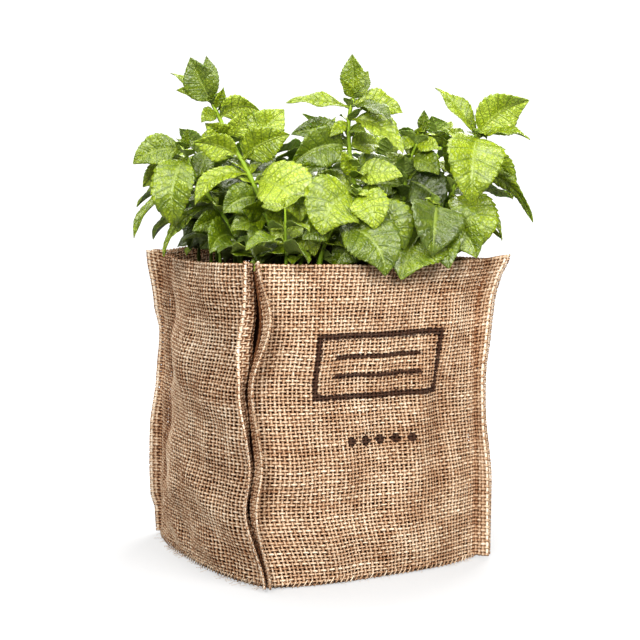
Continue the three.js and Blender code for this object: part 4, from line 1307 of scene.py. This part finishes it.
blotches = add(tree, "TexNoise", {"Vector": flat, "Scale": 1 / blotch_mm, "Detail": 3})["Fac"]
uneven = add(tree, "Math", {0: blotches, 1: 0.6, 2: -0.36}, operation="MULTIPLY_ADD")[0]
blotched = add(tree, "Math", {0: uneven, 1: tone}, operation="ADD")[0]
greens = {0: "#424E00", 0.28: "#708200", 0.52: "#9AAC08", 0.8: "#B8CA48", 1: "#D8DE9E"}
green = add(tree, "ValToRGB", {0: blotched}, stops=greens)[0]
# Painted shade: the sunk side veins and their fine net are painted dark green.
vein_shadow_share = add(tree, "Math", {0: veins, 1: painted_vein_shade}, operation="MULTIPLY")[0]
vein_shadowed = add(tree, "Mix", {0: vein_shadow_share, 6: green, 7: linear("#2E4A00")}, data_type="RGBA")[2]
pale = add(tree, "Math", {0: mid_vein, 1: midrib_shade}, operation="MULTIPLY")[0]
veined = add(tree, "Mix", {0: pale, 6: vein_shadowed, 7: linear("#B4C652")}, data_type="RGBA")[2]
below = add(tree, "MapRange", {0: parts[2], 3: 0.55, 4: 0.0})[0]
both = add(tree, "Mix", {0: below, 6: veined, 7: linear("#8FA35A")}, data_type="RGBA")[2]
tree.links.new(both, shader.inputs["Base Color"])
dull = add(tree, "MapRange", {0: parts[2], 3: 0.6, 4: 0.42})[0]
tree.links.new(dull, shader.inputs["Roughness"])
puffed = add(tree, "MapRange", {0: net, 1: 0.0, 2: 0.45})[0]
sunk = add(tree, "Math", {0: main_veins, 1: -0.8, 2: puffed}, operation="MULTIPLY_ADD")[0]
quilt = add(tree, "Bump", {"Height": sunk, "Strength": 0.7, "Distance": 0.5 * mm})[0]
tree.links.new(quilt, shader.inputs["Normal"])

# Green mint stem: juicy and smooth with a soft gloss, paler and yellower towards its tip.
stem_skin, tree, shader = material(
    "mint_stem", Roughness=0.4, IOR=1.42, Subsurface_Weight=0.2, Subsurface_Scale=1.0 * mm,
    Subsurface_Radius=(0.7, 1.0, 0.3))
tone = add(tree, "Attribute", {}, attribute_name="tone")["Fac"]
green = add(tree, "ValToRGB", {0: tone}, stops={0: "#7C9A2C", 1: "#A4BE3C"})[0]
tree.links.new(green, shader.inputs["Base Color"])

small_dice = Random(31)
down_hairs, down_radii = 50, [0.07, 0.05, 0.02]


def down(path, count):
    """Fine hairs that stand off a stem."""
    hairs = []
    for _ in range(count):
        at = small_dice.random()
        root = along_stem(path, at)
        way = np.array([small_dice.gauss(0, 1), small_dice.gauss(0, 1), small_dice.gauss(0, 0.4)])
        way /= np.linalg.norm(way)
        start = 0.9 * (stem_base + (stem_tip - stem_base) * at)
        spots = [root + way * start, root + way * (start + 0.5), root + way * (start + 0.9) + (0, 0, 0.2)]
        hairs.append(toned(swept(spots, down_radii, 3), 1))
    return hairs


laid = {place["name"]: placed_leaves(place) for place in stem_places}

# What a small leaf has to keep off: the stems, and all blades so far, with each one's middle and reach.
stalk_points = np.concatenate(list(lines.values()))
crowd = [blade for blades in taken.values() for blade in blades]
crowd_middles = np.array([blade.mean(0) for blade in crowd])
crowd_reaches = np.array([reach_of(blade) for blade in crowd])
stalk_gap, crowd_gap = 1.9, 0.6
small_cuts = (1, 0.8, 0.62)


def has_room(points):
    """True where a small leaf keeps off the bag, the other leaves and the stems."""
    if not clear_of_bag(points):
        return False
    if (np.linalg.norm(points[:, None] - stalk_points[None], axis=2) < stalk_gap).any():
        return False
    middle, reach = points.mean(0), reach_of(points)
    away = np.linalg.norm(crowd_middles - middle, axis=1)
    close = np.nonzero(away < crowd_reaches + reach + crowd_gap)[0]
    return all(((points[:, None] - crowd[k][None]) ** 2).sum(-1).min() > crowd_gap * crowd_gap for k in close)


def small_leaf(at, bearing, rise, length, base):
    """A small leaf of a pair or a shoot: turned, lifted or cut shorter until there is room for it."""
    global crowd_middles, crowd_reaches
    droop, roll, wide = small_dice.uniform(15, 80), small_dice.gauss(0, 22), small_dice.uniform(0.24, 0.36)
    first = Leaf(at, bearing, rise, length, droop, roll, wide)
    for shorter in small_cuts:
        for nudge in nudges[:9]:
            leaf = first.bent(*nudge, shorter)
            points = blade_points(leaf, base)[small_part:]
            if has_room(points):
                crowd.append(points)
                crowd_middles = np.vstack([crowd_middles, points.mean(0)])
                crowd_reaches = np.append(crowd_reaches, reach_of(points))
                return [(leaf, base)]
    return []


# Sprouts: young shoots out of the compost among the stems, with short, crowded leaves in crossed pairs. One
# that would grow through a leaf is made lower. Their leaves are one piece for each row of sprouts.
sprout_feet = [
    (-58, -48), (-50, -60), (-36, -50), (-30, -40), (-14, -58), (-12, -48), (12, -54), (20, -60),
    (26, -50), (50, -58), (54, -34), (64, -26), (-63, -30), (-64, -2), (-50, -4), (-34, -22),
    (-28, -4), (2, -20), (24, -24), (38, -18), (48, 14), (64, 12), (20, 44), (-18, 46),
    (-28, 58), (-58, 44), (18, 62), (62, 50), (-6, 4), (-62, 16), (66, -50),
]
front_row, middle_row = -44, 8  # a sprout whose foot has a lower y is in the row
sprout_nodes = [0.14, 0.36, 0.62, 1]
sprout_gap, lower, sprout_thin = 1.6, 0.82, 0.6
sprout_leaves, sprout_stalks = {"front": [], "middle": [], "back": []}, []
for x, y in sprout_feet:
    tall = small_dice.uniform(20, 34) if y < front_row else small_dice.uniform(26, 50)
    lean = [small_dice.uniform(-8, 8) for _ in range(2)]
    for _ in range(8):
        bend = (x + lean[0] / 2, y + lean[1] / 2, soil + 0.7 * tall)
        path = [(x, y), (x, y, soil + 0.4 * tall), bend, (x + lean[0], y + lean[1], soil + tall)]
        upper = along_stem(path, np.linspace(0.1, 1, 16))
        if all(np.linalg.norm(upper[:, None] - blade[None], axis=2).min() > sprout_gap for blade in crowd):
            break
        tall *= lower
    age = small_dice.uniform(0, 0.45)
    first = small_dice.uniform(0, 180)
    found = []
    for pair, at in enumerate(sprout_nodes):
        for opposite in (0, 180):
            bearing = first + 90 * pair + opposite + small_dice.uniform(-20, 20)
            length = small_dice.uniform(18, 30) * (1, 1, 0.8, 0.6)[pair]
            found += small_leaf(at, bearing, small_dice.uniform(5, 50), length, along_stem(path, at))
    if len(found) > 1:
        row = "front" if y < front_row else "middle" if y < middle_row else "back"
        sprout_leaves[row] += [grown_leaf(leaf, base, age + 0.25 * leaf.at) for leaf, base in found]
        sprout_stalks.append(stem_mesh(path, sprout_nodes[:3], sprout_thin))
for row, blades in sprout_leaves.items():
    put("mint_sprout_leaves_" + row, gathered("sprout_leaves", blades), leaf_skin, "mint")
put("mint_sprout_stalks", gathered("sprout_stalks", sprout_stalks), stem_skin, "mint")

# The stems themselves, each with young leaves in its axils and round its tip. Leaves that stand closer than
# same_node are a pair.
same_node, tip_node = 0.03, 0.97
for place in stem_places:
    name, path, leaves = place["name"], place["path"], laid[place["name"]]
    parts = sorted({leaf.at for leaf, _, _ in leaves})
    nodes = [at for k, at in enumerate(parts) if k == 0 or at - parts[k - 1] > same_node]
    young = []
    for at in [*nodes, 1]:
        tip_most = at > tip_node
        first = small_dice.uniform(0, 360)
        for k in range(4 if tip_most else 2):
            bearing = first + k * (90 if tip_most else 180) + small_dice.gauss(0, 15)
            length = small_dice.uniform(5, 10) if tip_most else small_dice.uniform(9, 17)
            young += small_leaf(at, bearing, small_dice.uniform(35, 75), length, along_stem(path, at))
    blades = [grown_leaf(*leaf) for leaf in leaves]
    blades += [grown_leaf(leaf, base, small_dice.uniform(0.35, 0.75)) for leaf, base in young]
    stalk = [stem_mesh(path, nodes), *down(path, down_hairs)]
    put("mint_leaves_" + name, gathered("leaves", blades), leaf_skin, "mint", "mint_stem_" + name)
    put("mint_stalk_" + name, gathered("stalk", stalk), stem_skin, "mint", "mint_stem_" + name)
